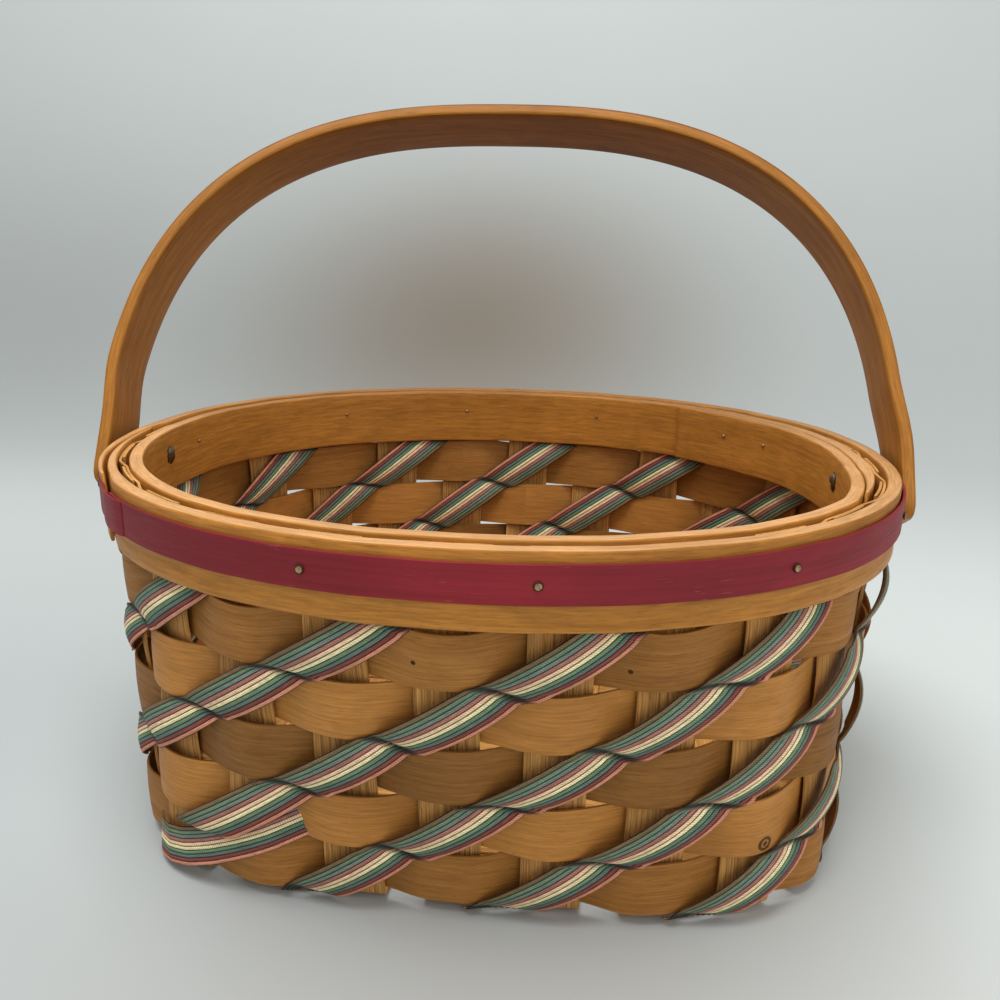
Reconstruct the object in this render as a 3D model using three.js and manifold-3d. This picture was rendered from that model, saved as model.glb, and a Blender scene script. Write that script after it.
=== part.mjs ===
// An oval basket of woven wood splints on a rounded rectangular base, with two rim hoops, a painted trim
// strip, diagonal ribbons inside and out, and a bow handle that swings on a pin at each end.
// Millimetres, +Z up, X along the length of the rim. The origin is on the table, under the middle.

import * as THREE from "three";
import { mergeVertices } from "three/addons/utils/BufferGeometryUtils.js";
import Module from "manifold-3d";

const wasm = await Module();
wasm.setup();

// Clearance between two pieces that lie against each other.
const fit = 0.3;

// Rim, measured over the outer hoop. A round share of 1 is an ellipse, and a lower one is squarer.
const rimLength = 305;
const rimWidth = 249;
const rimHeight = 142;
const rimRoundShare = 0.943;

// Base, measured over the lowest weaver.
const baseLength = 262;
const baseWidth = 202;
const baseRoundShare = 0.476;

// Splints. Each runs up one wall, under the base and up the wall across from it. The weave sits a little
// turned against the rim, by this share of the way round.
const weaveTurnShare = -0.0062;
const crossCount = 7;
const longCount = 5;
const splintWidth = 20.5;
const splintThickness = 1;
const splintDrop = 1;
const foldRadius = 4;
const foldSteps = 3;

// Weavers, the closed rings that go in and out of the upright stakes.
const rowCount = 5;
const rowGap = 0.8;
const weaverThickness = 1;
const weaverBulge = 2.6;
const flatMargin = 1;
const rimWeaverDrop = 1.6;
const rowSeatShare = 0.75;

// Hoops. Each is one strip that laps itself, and its ends are planed thin.
const hoopHeight = 25.4;
const hoopThickness = 5;
const hoopTipShare = 0.26;
const outerLapStations = 6;
const outerStartStation = 54;
const innerLapStations = 15;
const innerStartStation = 14;
const innerClimbStations = 3;
const innerTipStations = 2;

// Painted trim strip round the outer hoop.
const trimWidth = 12.5;
const trimDrop = 3.5;
const trimThickness = 1.1;
const trimLapStations = 1;
const trimStartStation = 61;

// Bow handle. It stands back from upright by its lean, sits a little to the left on its pins, and bends
// further to the left above them.
const handleWidth = 25.4;
const handleThickness = 5;
const handleHeight = 157;
const handleRoundShare = 0.775;
const handleGap = 2.8;
const handleAside = 2;
const handleBend = 2.7;
const handleBendRise = 40;
const handleLean = THREE.MathUtils.degToRad(29.3);
const handleSteps = 40;
const handleTail = 16;
const tailRoundShares = [
  [1, 0.55],
  [0.94, 0.8],
  [0.78, 0.96],
  [0.55, 1],
  [0, 1],
];

// Pins that the handle swings on, and the nails through the rim.
const pinDrop = 9;
const pinRadius = 2;
const pinHeadRadius = 4.6;
const pinHeadHeight = 1.6;
const nailRadius = 0.7;
const nailHeadRadius = 1.5;
const nailHeadHeight = 0.6;
const clinchRadiusShare = 0.8;
const roundSides = 12;
const nailSides = 6;

// Where the nails are, in stakes counted from the front. They were put in by eye.
const nailStakeShares = [0.77, 2.96, 5, 8.1, 8.83, 10.95, 12.94, 14.8, 17.4, 19.4, 22.85];

// Ribbons, flat bands of cord.
const ribbonWidth = 14;
const ribbonThickness = 0.8;
const ribbonSettle = 0.5;
const ribbonBulge = 3;
const ribbonPinchShare = 0.6;
const ribbonDrop = 1;
const ribbonStepsPerRow = 2;

// Levels and offsets that follow from the sizes above. An offset is measured outwards from the middle
// surface of the wall, which the stakes lie in.
const stakeCount = 2 * (crossCount + longCount);
const stationsPerStake = 3;
const stationCount = stationsPerStake * stakeCount;
const weaveOffset = (splintThickness + weaverThickness) / 2 + fit;
const weaveHalf = weaveOffset + weaverThickness / 2;
const clampHalf = weaveHalf + fit;
const hoopBottom = rimHeight - hoopHeight;
const floorLevel = weaveOffset + splintThickness / 2;
const foldTop = floorLevel + foldRadius;
const rowStart = floorLevel + foldRadius * rowSeatShare;
const rowPitch = (hoopBottom - rowGap - rowStart) / rowCount;
const weaverWidth = rowPitch - rowGap;
const outerHoopOffset = clampHalf + hoopThickness;
const trimOffset = outerHoopOffset + 2 * fit;
const trimTop = rimHeight - trimDrop;
const nailLevel = trimTop - trimWidth / 2;
const pinLevel = rimHeight - pinDrop;
const ribbonOffset = weaveHalf + ribbonThickness / 2 + fit + ribbonSettle;

const colours = {
  splint: 0xb5854c,
  weaver: 0xb0763a,
  hoop: 0xc98f4f,
  trim: 0x7d2832,
  handle: 0xb8763a,
  nail: 0xb09a86,
  pin: 0x8a7a68,
  outerRibbon: 0x5d8377,
  innerRibbon: 0x6f8a6a,
};

// A squared oval, which starts in the middle of the front and runs counter-clockwise seen from above.
class Oval extends THREE.Curve {
  constructor(length, width, roundShare) {
    super();
    this.halfLength = length / 2;
    this.halfWidth = width / 2;
    this.power = 2 / roundShare;
    this.arcLengthDivisions = 30 * stakeCount;
  }

  getPoint(share, target = new THREE.Vector3()) {
    const angle = 2 * Math.PI * share - Math.PI / 2;
    const cosine = Math.cos(angle);
    const sine = Math.sin(angle);
    const reach =
      Math.abs(cosine / this.halfLength) ** this.power +
      Math.abs(sine / this.halfWidth) ** this.power;
    const radius = reach ** (-1 / this.power);
    return target.set(radius * cosine, radius * sine, 0);
  }
}

const rimOval = new Oval(
  rimLength - 2 * outerHoopOffset,
  rimWidth - 2 * outerHoopOffset,
  rimRoundShare,
);
const baseOval = new Oval(baseLength - 2 * weaveHalf, baseWidth - 2 * weaveHalf, baseRoundShare);
const rimGirth = rimOval.getLength();
const baseGirth = baseOval.getLength();

const shareStep = 0.2 / stakeCount;
const up = new THREE.Vector3(0, 0, 1);

// How far up from the base to the hoops a level is, from 0 to 1.
function riseAt(level) {
  return THREE.MathUtils.clamp((level - floorLevel) / (hoopBottom - floorLevel), 0, 1);
}

function girthAt(level) {
  return THREE.MathUtils.lerp(baseGirth, rimGirth, riseAt(level));
}

function ovalPoint(oval, share) {
  return oval.getPointAt(share - Math.floor(share));
}

// Middle surface of the wall: a share of the way round, at a level.
function wallPoint(share, level) {
  const point = ovalPoint(baseOval, share).lerp(ovalPoint(rimOval, share), riseAt(level));
  return point.setZ(level);
}

function wallNormal(share, level) {
  const along = wallPoint(share + shareStep, level).sub(wallPoint(share - shareStep, level));
  const middle = Math.min(level, hoopBottom - foldRadius);
  const rise = wallPoint(share, middle + foldRadius).sub(wallPoint(share, middle));
  return along.cross(rise).normalize();
}

function wallLayer(share, level, offset) {
  return wallPoint(share, level).addScaledVector(wallNormal(share, level), offset);
}

// The wall stands upright behind the hoops.
function rimNormal(share) {
  const along = ovalPoint(rimOval, share + shareStep).sub(ovalPoint(rimOval, share - shareStep));
  return along.cross(up).normalize();
}

function rimLayer(share, level, offset) {
  return ovalPoint(rimOval, share).setZ(level).addScaledVector(rimNormal(share), offset);
}

// How far round a stake stands. Stakes are counted from the front, and a place between two is a fraction.
function stakeShare(stake) {
  return stake / stakeCount + weaveTurnShare;
}

// Stations round a ring: the two edges and the middle of each stake, with the edges' margin.
function stationShare(station, level) {
  const stake = Math.floor((station + 1) / stationsPerStake);
  const side = ((station + 1) % stationsPerStake) - 1;
  const reach = (splintWidth / 2 + flatMargin) / girthAt(level);
  return stakeShare(stake) + side * reach;
}

// Drops what isn't a position, joins the shared vertices and turns the faces outwards.
function sealed(geometry) {
  geometry.deleteAttribute("normal");
  geometry.deleteAttribute("uv");
  const merged = mergeVertices(geometry);
  const [a, b, c] = [new THREE.Vector3(), new THREE.Vector3(), new THREE.Vector3()];
  let volume = 0;
  for (let k = 0; k < merged.index.count; k += 3) {
    a.fromBufferAttribute(merged.attributes.position, merged.index.getX(k));
    b.fromBufferAttribute(merged.attributes.position, merged.index.getX(k + 1));
    c.fromBufferAttribute(merged.attributes.position, merged.index.getX(k + 2));
    volume += a.dot(b.cross(c));
  }
  if (volume < 0) merged.index.array.reverse();
  return merged;
}

// A strip bent to shape. The point function gets a row along it, a column across it, and its face, 1 or -1.
// The squares of its back are split along the same diagonal as the front's, so a twist keeps its thickness.
function stripGeometry(rows, columns, pointAt) {
  const geometry = new THREE.BoxGeometry(1, 1, 1, rows, columns, 1);
  const position = geometry.attributes.position;
  const corners = geometry.index.array;
  const back = geometry.groups.at(-1);
  for (let k = back.start; k < back.start + back.count; k += 6) {
    const [a, b, d, , c] = corners.slice(k, k + 6);
    corners.set([a, b, c, a, c, d], k);
  }
  for (let k = 0; k < position.count; k++) {
    const row = Math.round((position.getX(k) + 1 / 2) * rows);
    const column = Math.round((position.getY(k) + 1 / 2) * columns);
    const point = pointAt(row, column, Math.sign(position.getZ(k)));
    position.setXYZ(k, point.x, point.y, point.z);
  }
  return sealed(geometry);
}

// A closed ring with a four-sided section, whose point function gets a station, an edge and a face.
function ringGeometry(stations, pointAt) {
  const geometry = new THREE.TorusGeometry(1, 1, 4, stations);
  const position = geometry.attributes.position;
  for (let k = 0; k < position.count; k++) {
    const station = (k % (stations + 1)) % stations;
    const corner = Math.floor(k / (stations + 1)) % 4;
    const edge = corner === 0 || corner === 3 ? 1 : -1;
    const point = pointAt(station, edge, corner < 2 ? 1 : -1);
    position.setXYZ(k, point.x, point.y, point.z);
  }
  return sealed(geometry);
}

// A strip of even thickness on both sides of a grid of middle points, grid[column][row].
function slabGeometry(grid, thickness) {
  const columns = grid.length - 1;
  const rows = grid[0].length - 1;
  return stripGeometry(rows, columns, (row, column, face) => {
    const line = grid[column];
    const along = line[Math.min(row + 1, rows)].clone().sub(line[Math.max(row - 1, 0)]);
    const across = grid[Math.min(column + 1, columns)][row].clone();
    across.sub(grid[Math.max(column - 1, 0)][row]);
    const normal = along.cross(across).normalize();
    return line[row].clone().addScaledVector(normal, (face * thickness) / 2);
  });
}

function solidOf(geometry) {
  const mesh = new wasm.Mesh({
    numProp: 3,
    vertProperties: new Float32Array(geometry.attributes.position.array),
    triVerts: new Uint32Array(geometry.index.array),
  });
  return new wasm.Manifold(mesh);
}

function geometryOf(solid) {
  const mesh = solid.getMesh();
  const geometry = new THREE.BufferGeometry();
  geometry.setAttribute("position", new THREE.BufferAttribute(mesh.vertProperties, 3));
  geometry.setIndex(new THREE.BufferAttribute(mesh.triVerts, 1));
  return geometry;
}

// Fasteners go through the rim square to it.
const pins = [1 / 4, 3 / 4].map((share) => ({
  share,
  level: pinLevel,
  radius: pinRadius,
  sides: roundSides,
}));
const nails = nailStakeShares.map((stake) => ({
  share: stakeShare(stake),
  level: nailLevel,
  radius: nailRadius,
  sides: nailSides,
}));

// The hole that a fastener needs, from well outside the rim to well inside it.
function holeSolid(fastener) {
  const reach = rimHeight / 2;
  const hole = new THREE.CylinderGeometry(
    fastener.radius + fit,
    fastener.radius + fit,
    reach,
    fastener.sides,
  );
  const turn = new THREE.Quaternion().setFromUnitVectors(
    new THREE.Vector3(0, 1, 0),
    rimNormal(fastener.share),
  );
  hole.applyQuaternion(turn);
  const middle = rimLayer(fastener.share, fastener.level, 0);
  hole.translate(middle.x, middle.y, middle.z);
  return solidOf(sealed(hole));
}

const holes = [...pins, ...nails].map(holeSolid);

function drilled(geometry) {
  let solid = solidOf(geometry);
  for (const hole of holes) solid = solid.subtract(hole);
  return geometryOf(solid);
}

const basket = new THREE.Group();

function addMesh(name, geometry, colour, roughness, metalness = 0, parent = basket) {
  const shown = geometry.index ? geometry.toNonIndexed() : geometry;
  shown.computeVertexNormals();
  const material = new THREE.MeshStandardMaterial({ color: colour, roughness, metalness });
  const mesh = new THREE.Mesh(shown, material);
  mesh.name = name;
  parent.add(mesh);
  return mesh;
}

// One line of a splint on one wall, from its top edge down through the fold to where the base starts.
function wallLine(share, across) {
  const shareAt = (level) => share + (across * splintWidth) / girthAt(level);
  const halfwayUp = (hoopBottom + foldTop) / 2;
  const line = [
    wallPoint(shareAt(rimHeight), rimHeight - splintDrop),
    wallPoint(shareAt(hoopBottom), hoopBottom),
    wallPoint(shareAt(halfwayUp), halfwayUp),
  ];
  const foot = shareAt(floorLevel);
  const above = wallPoint(foot, foldTop);
  const corner = wallPoint(foot, floorLevel);
  const inwards = wallNormal(foot, floorLevel).setZ(0).normalize();
  const inside = corner.clone().addScaledVector(inwards, -foldRadius);
  const fold = new THREE.QuadraticBezierCurve3(above, corner, inside);
  return [...line, ...fold.getPoints(foldSteps)];
}

// Both ends of a splint's line under the base, and the walls that it runs up, from the first end.
function splintLine(firstStake, lastStake, across) {
  const first = wallLine(stakeShare(firstStake), across);
  const last = wallLine(stakeShare(lastStake), -across).reverse();
  return { first, last, start: first.at(-1), end: last[0] };
}

const crossReach = (crossCount - 1) / 2;
const longReach = (longCount - 1) / 2;

function crossLine(place, across) {
  return splintLine(place, stakeCount / 2 - place, across);
}

function longLine(place, across) {
  return splintLine((3 * stakeCount) / 4 - place, stakeCount / 4 + place, -across);
}

function crossSplint(place) {
  const grid = [-1 / 2, 0, 1 / 2].map((across) => {
    const { first, last } = crossLine(place, across);
    return [...first, ...last];
  });
  return drilled(slabGeometry(grid, splintThickness));
}

// Where a line under the base meets the edge of a cross splint. The margin widens the splint.
function meeting({ start, end }, place, across) {
  const edge = crossLine(place, across);
  const edgeAt = (y) => {
    const share = (y - edge.start.y) / (edge.end.y - edge.start.y);
    return THREE.MathUtils.lerp(edge.start.x, edge.end.x, share) + 2 * across * flatMargin;
  };
  const share = (edgeAt(start.y) - start.x) / (end.x - start.x);
  const y = THREE.MathUtils.lerp(start.y, end.y, share);
  return new THREE.Vector3(edgeAt(y), y, floorLevel);
}

// A long splint goes over and under the cross splints by turns.
function longSplint(place) {
  const grid = [-1 / 2, 0, 1 / 2].map((across) => {
    const line = longLine(place, across);
    const base = [];
    for (let crossPlace = -crossReach; crossPlace <= crossReach; crossPlace++) {
      const side = (crossPlace + place) % 2 === 0 ? 1 : -1;
      for (const edge of [-1 / 2, 1 / 2]) {
        const point = meeting(line, crossPlace, edge);
        base.push(point.setZ(floorLevel + side * weaveOffset));
      }
    }
    return [...line.first, ...base, ...line.last];
  });
  return drilled(slabGeometry(grid, splintThickness));
}

// 1 where a weaver lies outside a stake, and -1 where it lies inside.
function weaverSide(stake, row) {
  return (stake + row) % 2 === 0 ? 1 : -1;
}

function weaver(row) {
  const middle = rowStart + rowPitch * (row + 1 / 2);
  return ringGeometry(stationCount, (station, edge, face) => {
    const stake = Math.floor((station + 1) / stationsPerStake) % stakeCount;
    const crown = (station + 1) % stationsPerStake === 1 ? weaverBulge : 0;
    const offset = weaverSide(stake, row) * (weaveOffset + crown) + (face * weaverThickness) / 2;
    const share = stationShare(station, middle);
    return wallLayer(share, middle + (edge * weaverWidth) / 2, offset);
  });
}

// The top weaver is pressed flat between the hoops.
function rimWeaver() {
  const low = hoopBottom + rowGap;
  const high = rimHeight - rimWeaverDrop;
  const ring = ringGeometry(stationCount, (station, edge, face) => {
    const stake = Math.floor((station + 1) / stationsPerStake) % stakeCount;
    const offset = weaverSide(stake, rowCount) * weaveOffset + (face * weaverThickness) / 2;
    return rimLayer(stationShare(station, rimHeight), edge > 0 ? high : low, offset);
  });
  return drilled(ring);
}

// A strip that goes once round the rim and laps itself. Its faces come from the station along it.
function rimStrip(startStation, lapStations, low, high, facesAt) {
  const rows = stationCount + lapStations;
  const strip = stripGeometry(rows, 1, (row, column, face) => {
    const [inner, outer] = facesAt(row);
    const share = stationShare(startStation + row, rimHeight);
    return rimLayer(share, column === 0 ? low : high, face > 0 ? outer : inner);
  });
  return drilled(strip);
}

// The outer hoop's ends are scarfed: each is planed to a slope that lies on the other.
function outerHoop() {
  const slopeAt = (row) => {
    const share = THREE.MathUtils.clamp(row / outerLapStations, 0, 1);
    return hoopThickness * THREE.MathUtils.lerp(hoopTipShare, 1 - hoopTipShare, share);
  };
  return rimStrip(outerStartStation, outerLapStations, hoopBottom, rimHeight, (row) => {
    if (row <= outerLapStations) return [clampHalf, clampHalf + slopeAt(row)];
    if (row < stationCount) return [clampHalf, outerHoopOffset];
    return [clampHalf + slopeAt(row - stationCount) + fit, outerHoopOffset + fit];
  });
}

// The inner hoop's second end climbs over its thin first end and runs on inside it.
function innerHoop() {
  const lastRow = stationCount + innerLapStations;
  const startThickness = (row) =>
    hoopThickness * THREE.MathUtils.lerp(hoopTipShare, 1, Math.min(row / innerClimbStations, 1));
  return rimStrip(innerStartStation, innerLapStations, hoopBottom, rimHeight, (row) => {
    if (row < stationCount) return [-clampHalf - startThickness(row), -clampHalf];
    const outer = -clampHalf - startThickness(row - stationCount) - fit;
    const tip = Math.min((lastRow - row) / innerTipStations, 1);
    return [outer - hoopThickness * THREE.MathUtils.lerp(hoopTipShare, 1, tip), outer];
  });
}

function trimStrip() {
  return rimStrip(trimStartStation, trimLapStations, trimTop - trimWidth, trimTop, (row) => {
    const inner = row < stationCount ? trimOffset : trimOffset + trimThickness + fit;
    return [inner, inner + trimThickness];
  });
}

// The handle is made upright about its pins, and its group leans it back.
const handleInner = rimLength / 2 + 2 * fit + trimThickness + handleGap;
const handleHalf = handleInner + handleThickness / 2;

function handleGeometry() {
  const top = handleHeight - handleThickness / 2;
  const straight = 2 * pinHeadRadius;
  const rows = [];
  for (const [down, wide] of tailRoundShares)
    rows.push({ x: handleHalf - handleAside, z: -handleTail * down, wide });
  rows.push({ x: handleHalf - handleAside, z: straight, wide: 1 });
  for (let step = 1; step < handleSteps; step++) {
    const angle = (Math.PI * step) / handleSteps;
    const x = Math.sign(Math.cos(angle)) * Math.abs(Math.cos(angle)) ** handleRoundShare;
    const z = top * Math.sin(angle) ** handleRoundShare;
    const bend = handleBend * THREE.MathUtils.smoothstep(z, straight, handleBendRise);
    rows.push({ x: handleHalf * x - handleAside - bend, z, wide: 1 });
  }
  rows.push({ x: -handleHalf - handleAside, z: straight, wide: 1 });
  for (const [down, wide] of [...tailRoundShares].reverse())
    rows.push({ x: -handleHalf - handleAside, z: -handleTail * down, wide });
  const grid = [-1 / 2, 1 / 2].map((across) =>
    rows.map(({ x, z, wide }) => new THREE.Vector3(x, across * handleWidth * wide, z)),
  );
  const hole = new THREE.CylinderGeometry(
    pinRadius + fit,
    pinRadius + fit,
    2 * rimLength,
    roundSides,
  );
  hole.rotateZ(Math.PI / 2);
  const bow = solidOf(slabGeometry(grid, handleThickness));
  return geometryOf(bow.subtract(solidOf(sealed(hole))));
}

// Offset of the inner hoop's inner face at a share of the way round.
function innerFaceOffset(share) {
  const station = Math.round(share * stationCount);
  const row = (station - innerStartStation + stationCount) % stationCount;
  const layers = row <= innerLapStations ? 2 : 1;
  return -clampHalf - layers * hoopThickness - (layers - 1) * fit;
}

// A headed rod along +Y from its clinched end to its domed head. Its origin is in the wall's middle surface.
function fastenerGeometry({ radius, headRadius, headHeight, headSeat, clinchSeat, sides }) {
  const clinchRadius = headRadius * clinchRadiusShare;
  const profile = [
    [0, clinchSeat - headHeight],
    [clinchRadius * clinchRadiusShare, clinchSeat - headHeight],
    [clinchRadius, clinchSeat],
    [radius, clinchSeat],
    [radius, headSeat],
    [headRadius, headSeat],
    [headRadius * clinchRadiusShare, headSeat + headHeight * clinchRadiusShare],
    [0, headSeat + headHeight],
  ].map(([across, along]) => new THREE.Vector2(across, along));
  return sealed(new THREE.LatheGeometry(profile, sides));
}

function addFastener(name, fastener, headRadius, headHeight, headSeat, colour) {
  const clinchSeat = innerFaceOffset(fastener.share) - fit;
  const { radius, sides } = fastener;
  const sizes = { radius, headRadius, headHeight, headSeat, clinchSeat, sides };
  const mesh = addMesh(name, fastenerGeometry(sizes), colour, 0.5, 0.6);
  mesh.position.copy(rimLayer(fastener.share, fastener.level, 0));
  mesh.quaternion.setFromUnitVectors(new THREE.Vector3(0, 1, 0), rimNormal(fastener.share));
}

// A ribbon climbs one row for each stake that it passes. The turn is 1 outside the wall and -1 inside it.
function ribbon(startStake, turn) {
  const steps = rowCount * ribbonStepsPerRow;
  const top = hoopBottom - ribbonDrop;
  const grid = [-1 / 2, 0, 1 / 2].map((across) => {
    const line = [];
    for (let step = 0; step <= steps; step++) {
      const level = THREE.MathUtils.lerp(rowStart, top, step / steps);
      const rows = (level - rowStart) / rowPitch;
      const fromCorner = Math.sin(Math.PI * rows) ** 2;
      const slope = Math.hypot(rowPitch, girthAt(level) / stakeCount) / rowPitch;
      const wide = ribbonWidth * slope * THREE.MathUtils.lerp(ribbonPinchShare, 1, fromCorner);
      const stake = startStake + turn * (rows - 1 / 2);
      const share = stakeShare(stake) + (across * wide) / girthAt(level);
      line.push(wallLayer(share, level, turn * (ribbonOffset + ribbonBulge * fromCorner)));
    }
    return line;
  });
  return slabGeometry(grid, ribbonThickness);
}

for (let k = -crossReach; k <= crossReach; k++)
  addMesh(`splint_cross_${k + crossReach + 1}`, crossSplint(k), colours.splint, 0.7);

for (let k = -longReach; k <= longReach; k++)
  addMesh(`splint_long_${k + longReach + 1}`, longSplint(k), colours.splint, 0.7);

for (let row = 0; row < rowCount; row++)
  addMesh(`weaver_row_${row + 1}`, weaver(row), colours.weaver, 0.6);
addMesh("weaver_rim", rimWeaver(), colours.weaver, 0.6);

addMesh("hoop_outer", outerHoop(), colours.hoop, 0.5);
addMesh("hoop_inner", innerHoop(), colours.hoop, 0.5);
addMesh("trim_strip", trimStrip(), colours.trim, 0.5);

const handle = new THREE.Group();
handle.position.z = pinLevel;
handle.rotation.x = -handleLean;
basket.add(handle);
addMesh("swing_handle", handleGeometry(), colours.handle, 0.45, 0, handle);

const pinHeadSeat = outerHoopOffset + (handleHalf + handleThickness / 2 - rimLength / 2) + fit;
pins.forEach((pin, k) =>
  addFastener(
    k === 0 ? "handle_pin_right" : "handle_pin_left",
    pin,
    pinHeadRadius,
    pinHeadHeight,
    k === 0 ? pinHeadSeat - handleAside : pinHeadSeat + handleAside,
    colours.pin,
  ),
);
const nailHeadSeat = trimOffset + trimThickness + fit;
nails.forEach((nail, k) =>
  addFastener(`rim_nail_${k + 1}`, nail, nailHeadRadius, nailHeadHeight, nailHeadSeat, colours.nail),
);

const ribbonCount = stakeCount / 2;
for (let k = 0; k < ribbonCount; k++)
  addMesh(`ribbon_outer_${k + 1}`, ribbon(2 * k + 1, 1), colours.outerRibbon, 0.6);
for (let k = 0; k < ribbonCount; k++)
  addMesh(`ribbon_inner_${k + 1}`, ribbon(2 * k, -1), colours.innerRibbon, 0.6);

export default basket;
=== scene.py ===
"""An oval basket of woven splints with a bow handle, a painted rim and diagonal bands of striped cord."""

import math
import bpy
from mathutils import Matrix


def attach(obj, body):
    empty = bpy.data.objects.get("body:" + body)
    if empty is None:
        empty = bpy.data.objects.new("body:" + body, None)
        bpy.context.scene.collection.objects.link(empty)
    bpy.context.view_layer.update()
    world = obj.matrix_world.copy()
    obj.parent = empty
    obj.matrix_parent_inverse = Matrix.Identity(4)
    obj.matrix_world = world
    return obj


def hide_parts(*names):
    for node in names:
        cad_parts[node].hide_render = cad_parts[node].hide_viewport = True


bl_info = {
    "name": "Woven Splint Basket",
    "version": (1, 0, 0),
    "blender": (4, 5, 0),
    "location": "View3D > Sidebar > Basket",
    "description": "Makes a woven splint basket, its rim, handle and cord bands, and a plain studio for it",
    "category": "Add Mesh",
}

import bmesh
import bpy
import numpy as np
from bpy.props import FloatProperty, FloatVectorProperty, IntProperty, PointerProperty
from mathutils import Matrix, Vector

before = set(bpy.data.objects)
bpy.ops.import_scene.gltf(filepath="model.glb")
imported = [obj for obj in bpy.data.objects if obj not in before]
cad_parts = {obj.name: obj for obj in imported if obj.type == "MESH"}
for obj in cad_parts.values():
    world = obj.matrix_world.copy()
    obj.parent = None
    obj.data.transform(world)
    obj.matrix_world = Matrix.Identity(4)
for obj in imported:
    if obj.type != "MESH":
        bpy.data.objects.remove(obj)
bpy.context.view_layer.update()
GRAIN_MAP = "grain"
# The name of the attribute that gives each point of a piece its weight of painted shade.
SHADE_MARK = "mark"

# Rows of points across a sheet, and the middle one. Then steps along a weaver, for each splint,
# and up a band, for each row.
SHEET_ROWS = 7
MIDDLE = SHEET_ROWS // 2
WEAVER_STEPS = 14
BAND_STEPS = 22
# Stations where strips start, and how many an end laps over.
INNER_HOOP_START, INNER_HOOP_LAP = 14, 15
OUTER_HOOP_START, OUTER_HOOP_SCARF = 54, 6
TRIM_START = 61
# Above 1, a wave runs straight between its steps from over to under.
FLATNESS = 2.2
# Lengths in metres: eased edges and corners, then how soon a piece comes free of what holds it.
EASED_EDGE = 0.0002
HOOP_CORNER = 0.0008
HANDLE_CORNER = 0.0011
FREE_ABOVE_FOLD = 0.006
FREE_BELOW_HOOP = 0.004
FREE_OF_BASE_EDGE = 0.015


def length(name, description, default):
    return FloatProperty(
        name=name, description=description, default=default, min=0, unit="LENGTH", precision=5
    )


def share(name, description, default):
    return FloatProperty(name=name, description=description, default=default, precision=4)


def tint(name, description, red, green, blue):
    """A colour that a user can change, written as it looks on screen from 0 to 255."""
    return FloatVectorProperty(
        name=name,
        description=description,
        subtype="COLOR",
        size=3,
        min=0,
        max=1,
        default=[linear(value) for value in (red, green, blue)],
    )


def linear(value):
    value /= 255
    return value / 12.92 if value <= 0.04045 else ((value + 0.055) / 1.055) ** 2.4


class BasketWeave(bpy.types.PropertyGroup):
    """Sizes of the wall and what is woven into it."""

    fit: length("Fit", "Clearance between pieces that touch", 0.0003)
    base_length: length("Base length", "Over the lowest weaver", 0.262)
    base_width: length("Base width", "Over the lowest weaver", 0.202)
    base_round: share("Base roundness", "1 is an ellipse, and less is squarer", 0.476)
    turn: share("Weave turn", "How far round the weave sits from the rim", -0.0062)
    cross_count: IntProperty(name="Cross splints", description="Front to back", default=7)
    long_count: IntProperty(name="Long splints", description="End to end", default=5)
    splint_width: length("Splint width", "Width of an upright splint", 0.0205)
    splint_thickness: length("Splint thickness", "Thickness of an upright splint", 0.001)
    splint_drop: length("Splint drop", "From the rim's top to the splint's end", 0.001)
    splint_bow: length("Splint bow", "How far a weaver pushes a splint out of line", 0.0006)
    fold: length("Fold", "Radius of the splint's fold at the base", 0.004)
    seat: share("Row seat", "Share of the fold below the lowest row", 0.75)
    rows: IntProperty(name="Rows", description="Weavers that show", default=5)
    row_gap: length("Row gap", "Between two weavers", 0.0008)
    weaver_thickness: length("Weaver thickness", "Thickness of a weaver", 0.001)
    crown_out: length("Outer crown", "How far a weaver stands out over a splint", 0.0039)
    crown_in: length("Inner crown", "How far a weaver stands in behind a splint", 0.0034)
    rim_weaver_drop: length("Rim weaver drop", "From the rim's top to its weaver", 0.0016)
    unevenness: length("Unevenness", "How far the weave strays from its lines", 0.0004)
    droop: length("Droop", "How far the top row hangs from the hoop over a splint", 0.0016)


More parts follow.
